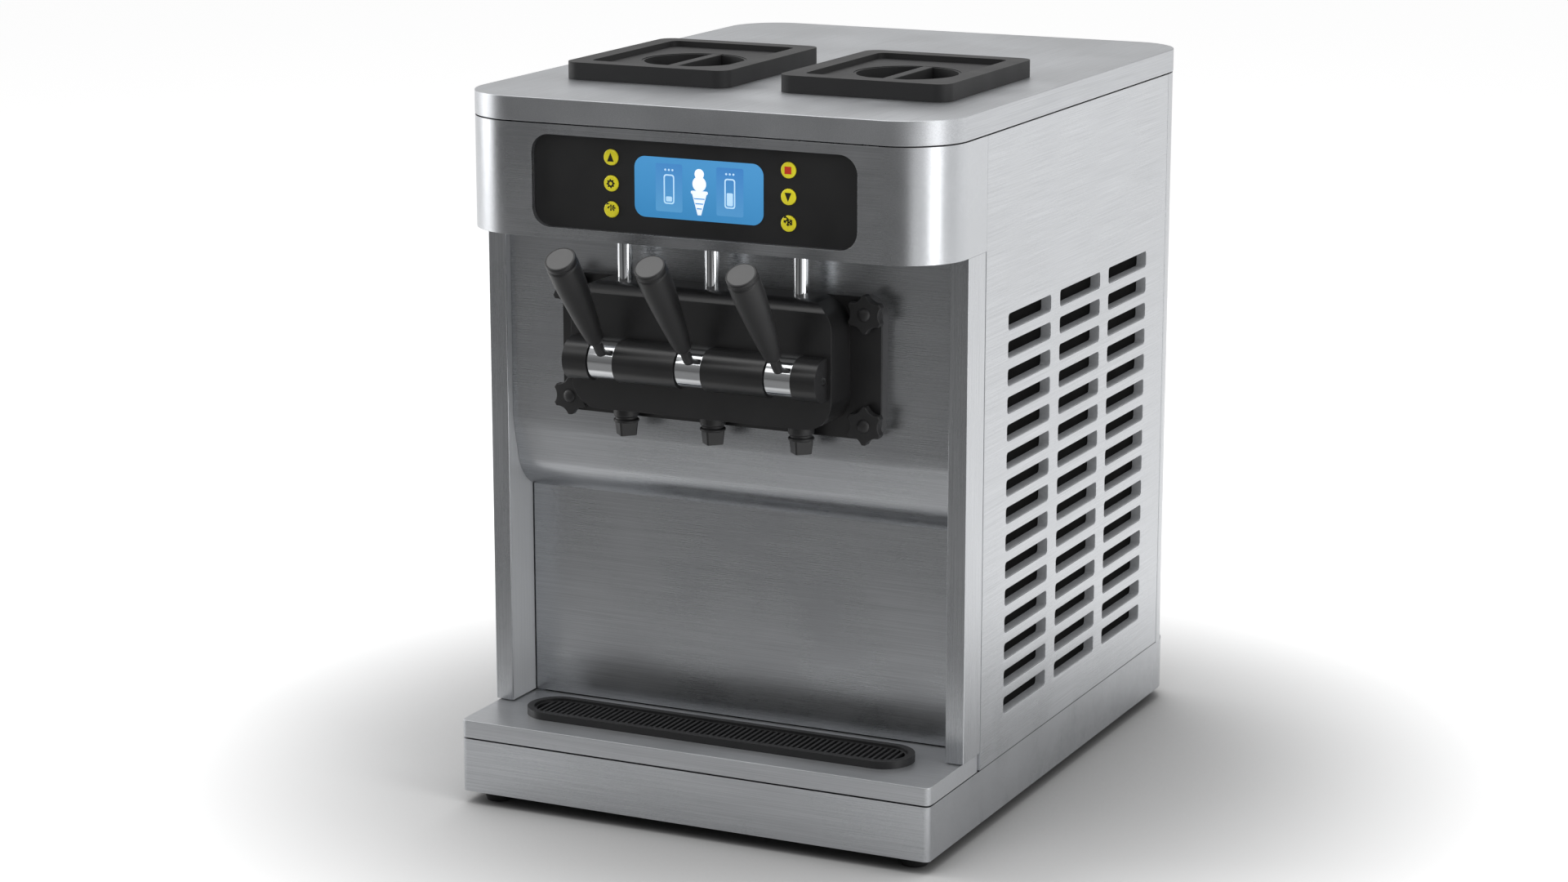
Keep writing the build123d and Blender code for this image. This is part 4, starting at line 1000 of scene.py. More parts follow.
    def rear_panel(self) -> None:
        """Wrap-round sheet with vents and the inlet's opening."""
        s = BENCH.span("rear_panel")
        f = self.make.finishes
        x, r, t = s.x1, self.rear_r, self.sheet
        outer = arc(x - r, s.y1 - r, r, 0, 90, 16) + arc(r - x, s.y1 - r, r, 90, 180, 16)
        inner = arc(r - x, s.y1 - r, r - t, 180, 90, 16) + arc(x - r, s.y1 - r, r - t, 90, 0, 16)
        outline = [(x, s.y0), *outer, (-x, s.y0), (t - x, s.y0), *inner, (x - t, s.y0)]
        shell = prism([outline], Face.PLAN, s.z0, s.z1)
        inlet = BENCH.span("power_inlet")
        cutters = [("DIFFERENCE", prism([rounded(inlet.cx - 14, inlet.cx + 14, inlet.cz - 11, inlet.cz + 11, 3, 4)],
                                        Face.FRONT, s.y1 - 4, s.y1 + 4))]
        cell = prism([rounded(-self.vent_pitch_y - self.vent_w / 2, -self.vent_pitch_y + self.vent_w / 2,
                              self.rear_vent_low, self.rear_vent_low + self.rear_vent_h, 4, 5)],
                     Face.FRONT, s.y1 - 4, s.y1 + 4)
        column = self.make.row.run(cell, self.rear_vent_rows, (0, 0, self.rear_vent_pitch), f.side_steel)
        cutters.append(("DIFFERENCE", self.make.row.run(column, 3, (self.vent_pitch_y, 0, 0), f.side_steel)))
        bm = soften(carve(shell, cutters), 0.4, 2)
        self.make.piece("rear_sheet", bm, f.front_steel, "root", ["rear_panel"], "brushed_steel")
        top = self.rear_vent_low + self.rear_vent_rows * self.rear_vent_pitch
        # Painted shade: a black pad behind the rear vents stands in for the dark inside of the casing.
        pad = prism([rounded(-1.5 * self.vent_pitch_y, 1.5 * self.vent_pitch_y, self.rear_vent_low - 8, top, 4)],
                    Face.FRONT, s.y1 - t - 6, s.y1 - t - 0.3)
        self.make.piece("rear_shade_pad", soften(pad, 1.0), f.painted_shade_black, "root", (), "inlet_plastic")
        self.make.piece("inlet_socket", self.inlet(inlet), f.paint_black, "root", ["power_inlet"], "inlet_plastic")

    def inlet(self, s: Span) -> bmesh.types.BMesh:
        """Mains socket with its three pins."""
        body = prism([rounded(s.cx - 13.8, s.cx + 13.8, s.cz - 10.8, s.cz + 10.8, (2, 2, 5, 5), 5)], Face.FRONT,
                     s.y0, s.y1)
        flange = prism([rounded(s.x0, s.x1, s.z0, s.z1, 3, 5)], Face.FRONT, s.y1 - 4.0, s.y1 - 1.55)
        well = prism([rounded(s.cx - 12, s.cx + 12, s.cz - 8.8, s.cz + 8.8, (1, 1, 4, 4), 5)], Face.FRONT,
                     s.y0 + 2, s.y1 + 1)
        pins = [prism([rounded(s.cx + x - 1, s.cx + x + 1, s.cz + z - 2, s.cz + z + 2, 0.4, 3)], Face.FRONT,
                      s.y0 + 1, s.y1 - 4) for x, z in ((-7.0, -2.0), (0.0, 2.5), (7.0, -2.0))]
        bm = carve(body, [("UNION", flange), ("DIFFERENCE", well)])
        return joined([soften(bm, 0.4), *pins])

    def panel_line(self, s: Span, back: float) -> Loop:
        """Upright, soft crease, slope and rounded foot of the upper panel from its top down.

        Args:
            s: The panel's box.
            back: How far the line is set back.

        Returns:
            Places along Y and Z.
        """
        return [(y + back, z) for y, z in [(s.y0, s.z1), *curve(self.crease, 12), *curve(self.foot, 16)]]

    def front_panels(self) -> None:
        """Upper panel stepping back to a slope, and the flat splash panel under it."""
        s = BENCH.span("upper_front_panel")
        f = self.make.finishes
        t = self.sheet
        profile = [*self.panel_line(s, 0.0), *reversed(self.panel_line(s, t))]
        bm = prism([profile], Face.SIDE, s.x0, s.x1)
        holes = [turned(lathe([(0, 0), (56, 0), (56, 8), (0, 8)], 64), Axis.Y) for _ in range(2)]
        for hole, x in zip(holes, (-95.0, 95.0)):
            shifted(hole, x, s.y0 - 3, 480.0)
        bm = carve(bm, [("DIFFERENCE", hole) for hole in holes])
        self.make.piece("upper_panel_sheet", bm, f.front_steel, "root", ["upper_front_panel"], "brushed_steel", 40.0)
        p = BENCH.span("splash_panel")
        gap = self.corner_gap
        sheet = prism([rounded(p.x0 + gap, p.x1 - gap, p.z0, p.z1, 0)], Face.FRONT, p.y0, p.y0 + t)
        inner = prism([rounded(p.x0 + 20, p.x1 - 20, p.z0, p.z0 + t, 0)], Face.FRONT, p.y0 + t, p.y1)
        self.make.piece("splash_sheet", joined([soften(sheet, 0.4), inner]), f.front_steel, "root", ["splash_panel"],
                        "brushed_steel", 40.0)

    def cover(self) -> None:
        """Top cover with the hoppers' openings."""
        s = BENCH.span("top_cover")
        w = self.wall
        holes = []
        for node in ("hopper_left", "hopper_right"):
            h = BENCH.span(node)
            holes.append(rounded(h.x0 + 7.7, h.x1 - 7.7, h.y0 + 7.7, h.y1 - 7.7, 16.3, 6))
        top = prism([body_outline(s.x1, s.y0, s.y1, self.fascia_r, self.rear_r, 24), *holes], Face.PLAN,
                    s.z1 - w, s.z1)
        skirt = prism([body_outline(s.x1, s.y0, s.y1, self.fascia_r, self.rear_r, 24),
                       body_outline(s.x1 - w, s.y0 + w, s.y1 - w, self.fascia_r - w, self.rear_r - w, 24)],
                      Face.PLAN, s.z0, s.z1 - w)
        bm = carve(top, [("UNION", skirt)])
        soften(bm, 1.0, 3)
        self.make.piece("cover_sheet", bm, self.make.finishes.top_steel, "root", ["top_cover"], "brushed_steel")

    def feet(self) -> None:
        """Four tapered rubber feet."""
        s = BENCH.span("rubber_feet")
        h = s.z1 - s.z0
        feet = []
        for x in (s.x0 + 16, s.x1 - 16):
            for y in (s.y0 + 16, s.y1 - 16):
                profile = [(0, 0), (12.6, 0), (13.6, 0.4), (14, 1.4), (14.3, 3), (15.3, h - 5), (16, h - 4),
                           (16, h), (0, h)]
                feet.append(shifted(lathe(profile, 40), x, y, s.z0))
        self.make.piece("feet", joined(feet), self.make.finishes.foot_rubber, "root", ["rubber_feet"], "foot_rubber",
                        30.0)


@dataclass
class Controls:
    """Fascia, control panel, display and buttons."""

    make: Maker
    wall: float = 2.0
    corner: float = 67.0
    recess_x: float = 2.0
    recess_w: float = 364.0
    recess_low: float = 614.0
    recess_h: float = 95.3
    recess_r: float = 20.0
    plate_r: float = 28.0
    screen_r: float = 12.0
    button_r: float = 8.25
    rod_hole_r: float = 8.3
    seam: float = 1.3
    icon_lift: float = 0.12

    def build(self) -> None:
        """Make every piece of the controls."""
        self.fascia()
        self.panel()
        self.display()
        self.buttons()

    def recess(self, grow: float, steps: int = 12) -> Loop:
        """Outline of the recess, grown by a wall."""
        half = self.recess_w / 2 + grow
        return rounded(self.recess_x - half, self.recess_x + half, self.recess_low - grow,
                       self.recess_low + self.recess_h + grow, self.recess_r + grow, steps)

    def fascia(self) -> None:
        """Shell with the collared recess."""
        s = BENCH.span("fascia")
        panel = BENCH.span("control_panel")
        w = self.wall
        steps = 24
        rear = min(s.y1, BENCH.span("side_panel_right").y0 - self.seam)
        outer = prism([rounded(s.x0, s.x1, s.y0, rear, (self.corner, self.corner, 0, 0), steps)], Face.PLAN,
                      s.z0, s.z1)
        inner = prism([rounded(s.x0 + w, s.x1 - w, s.y0 + w, s.y1 + 1, (self.corner - w, self.corner - w, 0, 0),
                               steps)], Face.PLAN, s.z0 + w, s.z1 + 1)
        collar = prism([self.recess(w)], Face.FRONT, s.y0 + 0.5, panel.y0)
        opening = prism([self.recess(0.0)], Face.FRONT, s.y0 - 2, panel.y0 + 1)
        rods = []
        for node in ("plunger_left", "plunger_middle", "plunger_right"):
            r = BENCH.span(node)
            rods.append(shifted(lathe([(0, 0), (self.rod_hole_r, 0), (self.rod_hole_r, 6), (0, 6)], 32),
                                r.cx, r.cy, s.z0 - 2))
        tools = [("DIFFERENCE", inner), ("UNION", collar), ("DIFFERENCE", opening)]
        tools += [("DIFFERENCE", rod) for rod in rods]
        bm = carve(outer, tools)
        soften(bm, 1.2, 3, keep=lambda e: e.verts[0].co.y < rear - 0.5 and self.is_outer(e, s))
        self.make.piece("fascia_sheet", bm, self.make.finishes.front_steel, "root", ["fascia"], "brushed_steel")

    def is_outer(self, edge: bmesh.types.BMEdge, s: Span) -> bool:
        """Whether an edge lies on the outside of the fascia."""
        low = all(v.co.z < s.z0 + 0.01 for v in edge.verts)
        front = all(v.co.y < s.y0 + 0.01 for v in edge.verts)
        return low or front

    def panel(self) -> None:
        """Dark plate with the screen's pocket and the button holes."""
        s = BENCH.span("control_panel")
        screen = BENCH.span("display_screen")
        plate = prism([rounded(s.x0, s.x1, s.z0, s.z1, self.plate_r, 10)], Face.FRONT, s.y0, s.y1)
        pocket = prism([rounded(screen.x0, screen.x1, screen.z0, screen.z1, self.screen_r, 10)], Face.FRONT,
                       s.y0 - 1, screen.y1)
        tools = [("DIFFERENCE", pocket)]
        for node, _ in BUTTONS:
            b = BENCH.span(node)
            tools.append(("DIFFERENCE", turned(lathe([(0, 0), (8.55, 0), (8.55, 8), (0, 8)], 40), Axis.Y)))
            shifted(tools[-1][1], b.cx, s.y0 - 2, b.cz)
        bm = soften(carve(plate, tools), 0.25, 2)
        self.make.piece("control_plate", bm, self.make.finishes.control_black, "root", ["control_panel"], "panel_black")

    def sticker(self, loops: Sequence[Loop], y: float, depth: float = 0.1) -> bmesh.types.BMesh:
        """Thin flat shape on a front face."""
        return prism(loops, Face.FRONT, y - depth, y + 0.02)

    def display(self) -> None:
        """Lit glass with two gauge columns and a cone sign."""
        s = BENCH.span("display_screen")
        f = self.make.finishes
        glass = prism([rounded(s.x0, s.x1, s.z0, s.z1, self.screen_r, 12)], Face.FRONT, s.y0, s.y1)
        lit = Glow("screen_lit", hex_colour("3a86bd"), hex_colour("4f98cf"), s, 0.42).material()
        self.make.piece("screen_glass_plate", soften(glass, 0.3, 2), lit, "root", ["display_screen"], "screen_glass")
        column = Glow("screen_column", hex_colour("5aa0cf"), hex_colour("3f7fc4"), s, 0.42).material()
        white = Glow("screen_white", hex_colour("dfeefa"), hex_colour("ffffff"), s, 0.5).material()
        pale = Glow("screen_pale", hex_colour("a9d4f3"), hex_colour("c4e2f8"), s, 0.5).material()
        y = s.y0
        mid = s.cx + 1.0
        columns = [self.sticker([rounded(mid + side * 34 - 15, mid + side * 34 + 15, s.z0 + 7, s.z1 - 6, 2, 4)], y, 0.06)
                   for side in (-1, 1)]
        self.make.piece("screen_columns", joined(columns), column, "root", (), "screen_glass")
        marks = []
        for side in (-1, 1):
            cx = mid + side * 34
            tube = rounded(cx - 6, cx + 6, s.cz - 16, s.cz + 14, 3, 5)
            bore = rounded(cx - 4.6, cx + 4.6, s.cz - 14.6, s.cz + 12.6, 2, 5)
            marks.append(self.sticker([tube, bore], y - 0.06))
            level = rounded(cx - 3.4, cx + 3.4, s.cz - 13.4, s.cz - 13.4 + 9 + 4 * side, 1.2, 4)
            marks.append(self.sticker([level], y - 0.06))
            for tick in range(3):
                z = s.cz + 18.5
                marks.append(self.sticker([circle(cx - 4 + 4 * tick, z, 1.1, 12)], y - 0.06))
        self.make.piece("screen_gauges", joined(marks), pale, "root", (), "screen_glass")
        cone = [(mid - 8, s.cz - 4), (mid + 8, s.cz - 4), (mid + 2, s.cz - 25), (mid - 2, s.cz - 25)]
        rim = rounded(mid - 9.5, mid + 9.5, s.cz - 4.0, s.cz - 0.6, 1.6, 4)
        scoops = [circle(mid, s.cz + 6.4, 7.6, 32), circle(mid, s.cz + 16.4, 5.2, 28)]
        sign = [self.sticker([shape], y - 0.06, 0.1 + 0.03 * i) for i, shape in enumerate([cone, rim, *scoops])]
        self.make.piece("screen_cone_sign", joined(sign), white, "root", (), "screen_glass")
        blue = Glow("screen_deep", hex_colour("2f86cc"), hex_colour("3f97dd"), s, 0.5).material()
        bars = []
        for i in range(3):
            z = s.cz - 8.5 - 5 * i
            half = 6.0 - 1.5 * i
            bars.append(self.sticker([rounded(mid - half, mid + half, z - 0.5, z + 0.5, 0.4, 3)], y - 0.2, 0.08))
        self.make.piece("screen_cone_bars", joined(bars), blue, "root", (), "screen_glass")

    def icon(self, kind: "Icon", cx: float, cz: float, y: float) -> bmesh.types.BMesh:
        """Raised sign of one button.

        Args:
            kind: Which sign.
            cx: Centre along X.
            cz: Centre along Z.
            y: The cap's front face.

        Returns:
            Its mesh.
        """
        if kind is Icon.UP or kind is Icon.DOWN:
            s = 1 if kind is Icon.UP else -1
            return self.sticker([[(cx - 3.7, cz - 4.2 * s), (cx + 3.7, cz - 4.2 * s), (cx, cz + 4.8 * s)]], y)
        if kind is Icon.STOP:
            return self.sticker([rounded(cx - 3.7, cx + 3.7, cz - 3.7, cz + 3.7, 0.3, 3)], y)
        if kind is Icon.GEAR:
            outline = []
            for i in range(32):
                radius = 4.7 if i % 4 in (0, 1) else 3.6
                turn = 2 * math.pi * i / 32
                outline.append((cx + radius * math.cos(turn), cz + radius * math.sin(turn)))
            return self.sticker([outline, circle(cx, cz, 1.9, 20)], y)
        if kind is Icon.FROST:
            arrow = [(-2.0, 4.1), (-1.3, 4.8), (0.0, 3.5), (1.3, 4.8), (2.0, 4.1), (0.0, 2.1)]
            ray = joined([self.sticker([rounded(-0.65, 0.65, 0.0, 5.4, 0.2, 3)], y),
                          self.sticker([arrow], y, 0.11)])
            count = 6
        else:
            ray = self.sticker([[(-0.45, 2.0), (0.45, 2.0), (0.85, 5.1), (-0.85, 5.1)]], y)
            count = 8
        wheel = self.make.wheel.run(ray, count, (0, 2 * math.pi / count, 0), self.make.finishes.icon_black)
        return shifted(wheel, cx, 0, cz)

    def buttons(self) -> None:
        """Six domed caps with their signs."""
        f = self.make.finishes
        for node, kind in BUTTONS:
            s = BENCH.span(node)
            body = "key_" + node.removeprefix("button_")
            r = self.button_r
            depth = s.y1 - s.y0
            profile = [(0, 0), (r - 1.6, 0.0), (r - 0.7, 0.25), (r - 0.2, 0.7), (r, 1.4), (r, depth - 3.0),
                       (9.6, depth - 3.0), (9.6, depth - 1.8), (3.0, depth - 1.8), (3.0, depth), (0, depth)]
            cap = shifted(turned(lathe(profile, 48), Axis.Y), s.cx, s.y0, s.cz)
            self.make.piece(f"{node}_cap", cap, f.button_yellow, body, [node], "button_yellow", 30.0)
            finish = f.icon_red if kind is Icon.STOP else f.icon_black
            sign = self.icon(kind, s.cx, s.cz, s.y0)
            self.make.piece(f"{node}_sign", sign, finish, body, (), "button_yellow")


class Icon(Enum):
    """Signs on the buttons."""

    UP = "up"
    GEAR = "gear"
    RAYS = "rays"
    STOP = "stop"
    DOWN = "down"
    FROST = "frost"


BUTTONS = (
    ("button_left_top", Icon.UP),
    ("button_left_middle", Icon.GEAR),
    ("button_left_bottom", Icon.RAYS),
    ("button_right_top", Icon.STOP),
    ("button_right_middle", Icon.DOWN),
    ("button_right_bottom", Icon.FROST),
)


@dataclass
class Head:
    """Valve body, levers, plungers, nozzles and star knobs."""

    make: Maker
    shaft_y: float = 22.0
    shaft_z: float = 478.75
    housing_r: float = 22.0
    housing_half: float = 142.5
    notch_half: float = 15.3
    block_half: float = 147.2
    block_low: float = 425.0
    block_y: float = 30.0
    block_r: float = 30.0
    flange_r: float = 20.0
    flange_round: float = 2.4
    # The flange is set in by edge_lift under the lighter band, which is painted highlight.
    edge_lift: float = 0.15
    flange_y: float = 75.0
    tilt: float = 37.1
    lever_set: float = 6.3
    ball_z: float = 19.8
    neck_r: float = 5.2
    collar_r: float = 20.0
    lever_length: float = 156.7
    block_round: float = 17.0

    def build(self) -> None:
        """Make every piece of the head."""
        self.valve_body()
        self.levers()
        self.plungers()
        self.nozzles()
        self.knobs()
        f = self.make.finishes
        self.make.dress(["lever_shaft", "head_studs"], f.turned_steel)
        self.make.dress(["head_seals"], f.seal_white)

    def valve_body(self) -> None:
        """Flange, block and notched shaft housing."""
        s = BENCH.span("valve_body")
        t = self.edge_lift
        r = self.flange_r
        flange = prism([rounded(s.x0 + t, s.x1 - t, s.z0 + t, s.z1 - t, r - t, 10)], Face.FRONT, self.flange_y, s.y1)
        flange = soften(flange, self.flange_round, 3)
        # Painted highlight: a lighter band round the flange's side, standing just proud of it.
        band = prism([rounded(s.x0, s.x1, s.z0, s.z1, r, 10),
                      rounded(s.x0 + 2 * t, s.x1 - 2 * t, s.z0 + 2 * t, s.z1 - 2 * t, r - 2 * t, 10)], Face.FRONT,
                     self.flange_y + self.flange_round + t, s.y1)
        self.make.piece("flange_lit_band", band, self.make.finishes.painted_lit_black, "root", (), "black_plastic")
        b = self.block_half
        block = prism([rounded(-b, b, self.block_low, s.z1 - 0.02, self.block_r, 12)], Face.FRONT, self.block_y,
                      self.flange_y + 1)
        block = soften(block, 1.2, 3, keep=lambda e: all(v.co.y < self.block_y + 0.01 for v in e.verts))
        brow = prism([rounded(self.block_y - 1, self.flange_y + 2, self.block_low - 5, s.z1 - 0.02,
                              (0, 0, 0, self.block_round), 14)], Face.SIDE, -b - 5, b + 5)
        block = carve(block, [("INTERSECT", brow)])
        y, z, r = self.shaft_y, self.shaft_z, self.housing_r
        round_part = arc(y, z, r, 90, 270, 32)
        housing = prism([[*round_part, (self.block_y + 2, z - r), (self.block_y + 2, z + r)]], Face.SIDE,
                        -self.housing_half, self.housing_half)
        housing = soften(housing, 0.8, 2, keep=lambda e: abs(abs(e.verts[0].co.x) - self.housing_half) < 0.01
                         and abs(abs(e.verts[1].co.x) - self.housing_half) < 0.01)
        tools = [("UNION", block), ("UNION", housing)]
        for node in ("lever_collar_left", "lever_collar_middle", "lever_collar_right"):
            x = BENCH.span(node).cx
            n = self.notch_half
            gap = prism([[(y - r - 3, z - r - 2), (self.block_y, z - r - 2), (self.block_y, z + r + 2),
                          (y - r - 3, z + r + 2)]], Face.SIDE, x - n, x + n)
            bed = prism([circle(y, z, self.collar_r + 0.3, 64)], Face.SIDE, x - n, x + n)
            tools += [("DIFFERENCE", gap), ("DIFFERENCE", bed)]
            bore = lathe([(0, 0), (8.05, 0), (8.05, 200), (0, 200)], 32)
            tools.append(("DIFFERENCE", shifted(bore, x, BENCH.span("plunger_left").cy, self.block_low - 20)))
        shaft = turned(lathe([(0, 0), (5.05, 0), (5.05, 400), (0, 400)], 24), Axis.X)
        tools.append(("DIFFERENCE", shifted(shaft, -200, y, z)))
        for node in KNOBS:
            k = BENCH.span(node)
            hole = turned(lathe([(0, 0), (4.3, 0), (4.3, 40), (0, 40)], 20), Axis.Y)
            tools.append(("DIFFERENCE", shifted(hole, k.cx, 60, k.cz)))
        bm = carve(flange, tools)
        self.make.piece("head_moulding", bm, self.make.finishes.head_black, "root", ["valve_body"], "black_plastic", 32.0)

    def tilted(self, bm: bmesh.types.BMesh, x: float) -> bmesh.types.BMesh:
        """Lean a lever that stands along Z and put it on its shaft."""
        bm.transform(Matrix.Rotation(math.radians(self.tilt), 4, "X"))
        return shifted(bm, x, self.shaft_y, self.shaft_z)

    def ball_neck(self, grow: float, top: float) -> bmesh.types.BMesh:
        """Stem, ball end and neck, grown by a clearance and cut off at a height."""
        r = self.neck_r + grow
        z = self.ball_z
        stem = 2.5 + grow
        foot = z - (r**2 - stem**2) ** 0.5
        ball = arc(0, z, r, math.degrees(math.atan2(foot - z, stem)), 0, 10)
        profile = [(0, 7.0), (stem, 7.0), *ball, (r, top), (0, top)]
        return shifted(lathe(profile, 40), 0, -self.lever_set, 0)

    def levers(self) -> None:
        """Three grips with grey caps and chrome collars."""
        f = self.make.finishes
        top = self.lever_length
        grip = [(0, 34.6), (5.2, 34.6), (6.2, 35.4), (7.5, 36.3), (8.6, 38.3), (9.2, 41.2), (9.5, 43.6)]
        taper = [(10.4, 50.7), (11.5, 60.7), (12.7, 73.7), (13.8, 87.7), (15.0, 102.7), (15.9, 115.7), (16.4, 126.7),
                 (16.55, 138.7), (16.5, 146.7), (16.2, 148.3), (15.6, 148.9)]
        ring = [(15.4, 149.3), (15.4, 150.6), (15.8, 151.0), (16.2, 151.6), (16.3, 152.8), (16.3, top - 1.6),
                (15.9, top - 0.6), (15.1, top), (14.3, top), (14.2, top - 0.5), (0, top - 0.5)]
        collar = [(5.05, -15), (18.6, -15), (19.4, -14.8), (19.85, -14.3), (20, -13.6), (20, 13.6), (19.85, 14.3),
                  (19.4, 14.8), (18.6, 15), (5.05, 15)]
        for place in ("left", "middle", "right"):
            x = BENCH.span(f"lever_grip_{place}").cx
            body = f"lever_{place}"
            handle = shifted(lathe(grip + taper + ring, 56), 0, -self.lever_set, 0)
            handle = carve(handle, [("UNION", self.ball_neck(0.0, 35.2))])
            self.make.piece(f"grip_{place}", self.tilted(handle, x), f.grip_black, body, [f"lever_grip_{place}"],
                            "black_plastic", 50.0)
            cap = lathe([(0, top - 0.48), (14.1, top - 0.48), (14.1, top - 0.12), (13.7, top + 0.0), (0, top + 0.0)], 56)
            cap = shifted(cap, 0, -self.lever_set, 0)
            self.make.piece(f"cap_{place}", self.tilted(cap, x), f.cap_grey, body, (), "black_plastic", 50.0)
            hub = carve(turned(lathe(collar, 72), Axis.X), [("DIFFERENCE", self.ball_neck(0.12, 30.0))])
            self.make.piece(f"collar_{place}", self.tilted(hub, x), f.chrome, body, [f"lever_collar_{place}"], "chrome")

    def plungers(self) -> None:
        """Three chrome rods with polished ends."""
        for place in ("left", "middle", "right"):
            s = BENCH.span(f"plunger_{place}")
            h = s.z1 - s.z0
            rod = lathe([(0, 0), (7.2, 0), (8, 0.8), (8, h - 0.8), (7.2, h), (0, h)], 48)
            self.make.piece(f"rod_{place}", shifted(rod, s.cx, s.cy, s.z0), self.make.finishes.chrome,
                            f"valve_rod_{place}", [f"plunger_{place}"], "chrome")

    def skirt(self, radius: float, z: float) -> list[Vector]:
        """Corners of a square with narrow cut corners that point along X and Y."""
        turns = [math.radians(90 * i + side) for i in range(4) for side in (-5.0, 5.0)]
        return [Vector((radius * math.cos(turn), radius * math.sin(turn), z)) for turn in turns]

    def nozzles(self) -> None:
        """Three spouts: a collar, a ring groove, a lip and a square skirt."""
        s = BENCH.span("outlet_nozzles")
        top = s.z1 - s.z0
        f = self.make.finishes
        spouts = []
        for node in ("plunger_left", "plunger_middle", "plunger_right"):
            p = BENCH.span(node)
            profile = [(0, 14.0), (12.4, 14.0), (13.2, 14.6), (13.4, 15.4), (13.3, 16.4), (12.7, 17.1), (11.8, 17.6),
                       (11.5, 18.4), (11.6, 19.4), (12.2, 20.0), (13.0, 20.6), (13.3, 21.6), (13.4, 23.0), (13.4, top),
                       (0, top)]
            core = lathe(profile, 48)
            hull = bmesh.new()
            for point in [*self.skirt(11.4, 0.0), *self.skirt(13.2, 14.8)]:
                hull.verts.new(point)
            bmesh.ops.convex_hull(hull, input=list(hull.verts))
            bmesh.ops.dissolve_limit(hull, angle_limit=0.01, verts=list(hull.verts), edges=list(hull.edges))
            bmesh.ops.recalc_face_normals(hull, faces=list(hull.faces))
            hull = soften(hull, 0.3, 2, 20.0)
            bore = lathe([(0, -1), (7.0, -1), (7.0, top + 1), (0, top + 1)], 40)
            spout = carve(core, [("UNION", hull), ("DIFFERENCE", bore)])
            spouts.append(shifted(spout, p.cx, p.cy, s.z0))
        self.make.piece("nozzles", joined(spouts), f.knob_black, "root", ["outlet_nozzles"], "black_plastic", 35.0)

    def knobs(self) -> None:
        """Four star nuts with domed bosses."""
        for node in KNOBS:
            s = BENCH.span(node)
            body = "knob_" + node.removeprefix("star_knob_")
            disc = prism([star(6, 20.0, 15.5, 12.5)], Face.FRONT, s.y0 + 3, s.y1 - 3)
            disc = soften(disc, 1.2, 3, 30.0)
            boss = turned(lathe([(0, 0), (2.6, 0.12), (4.6, 0.6), (6.1, 1.5), (6.8, 2.6), (7.0, 3.6), (0, 3.6)], 32),
                          Axis.Y)
            hub = turned(lathe([(0, 0), (10, 0), (10, 3.2), (0, 3.2)], 32), Axis.Y)
            bm = joined([shifted(disc, s.cx, 0, s.cz), shifted(boss, s.cx, s.y0, s.cz),
                         shifted(hub, s.cx, s.y1 - 3.2, s.cz)])
            self.make.piece(f"{node}_nut", bm, self.make.finishes.knob_black, body, [node], "black_plastic", 40.0)


KNOBS = ("star_knob_left_lower", "star_knob_left_upper", "star_knob_right_lower", "star_knob_right_upper")


@dataclass
class Lids:
    """Hopper lids with a sunk top and a barred finger pocket."""

    make: Maker
    corner: float = 16.0
    rim: float = 21.0
    floor_h: float = 12.0
    wall: float = 3.0
    pocket_r: float = 53.5
    ring_r: float = 56.0
    pocket_depth: float = 24.0
    bar: float = 11.5

    def build(self) -> None:
        """Make both lids and dress the tanks under them."""
        for side in ("left", "right"):
            self.lid(side)
        self.make.dress(["hopper_left", "hopper_right"], self.make.finishes.tank_steel)

    def lid(self, side: str) -> None:
        """One lid."""
        s = BENCH.span(f"hopper_lid_{side}")
        cover = BENCH.span("top_cover").z1
        floor = cover + self.floor_h
        low = cover + 0.15
        outer = prism([rounded(s.x0, s.x1, s.y0, s.y1, self.corner, 10)], Face.PLAN, low, s.z1)
        outer = soften(outer, 1.6, 3)
        m = self.rim
        recess = prism([rounded(s.x0 + m, s.x1 - m, s.y0 + m, s.y1 - m, 9.0, 8)], Face.PLAN, floor, s.z1 + 2)
        w = self.wall
        under = prism([rounded(s.x0 + w, s.x1 - w, s.y0 + w, s.y1 - w, self.corner - w, 8)], Face.PLAN, low - 1,
                      floor - w)
        cup = lathe([(0, -self.pocket_depth - w), (self.pocket_r + w, -self.pocket_depth - w),
                     (self.pocket_r + w, -0.5), (0, -0.5)], 64)
        hollow = lathe([(0, -self.pocket_depth), (self.pocket_r - 1.5, -self.pocket_depth),
                        (self.pocket_r, -self.pocket_depth + 1.5), (self.pocket_r, 1), (0, 1)], 64)
        ring = lathe([(self.pocket_r - 1, -0.8), (self.ring_r, -0.8), (self.ring_r, 1), (self.pocket_r - 1, 1)], 64)
        b = self.bar / 2
        bar = prism([rounded(s.cx - b, s.cx + b, s.cy - self.pocket_r - 1.5, s.cy + self.pocket_r + 1.5, 0)],
                    Face.PLAN, floor - self.pocket_depth - 1, floor - 0.01)
        bar = soften(bar, 0.8, 2, keep=lambda e: all(v.co.z > floor - 0.1 for v in e.verts))
        tools = [("DIFFERENCE", recess), ("DIFFERENCE", under), ("UNION", shifted(cup, s.cx, s.cy, floor)),
                 ("DIFFERENCE", shifted(hollow, s.cx, s.cy, floor)), ("DIFFERENCE", shifted(ring, s.cx, s.cy, floor)),
                 ("UNION", bar)]
        bm = carve(outer, tools)
        self.make.piece(f"lid_{side}_moulding", bm, self.make.finishes.lid_black, f"lid_{side}",
                        [f"hopper_lid_{side}"], "lid_plastic", 38.0)


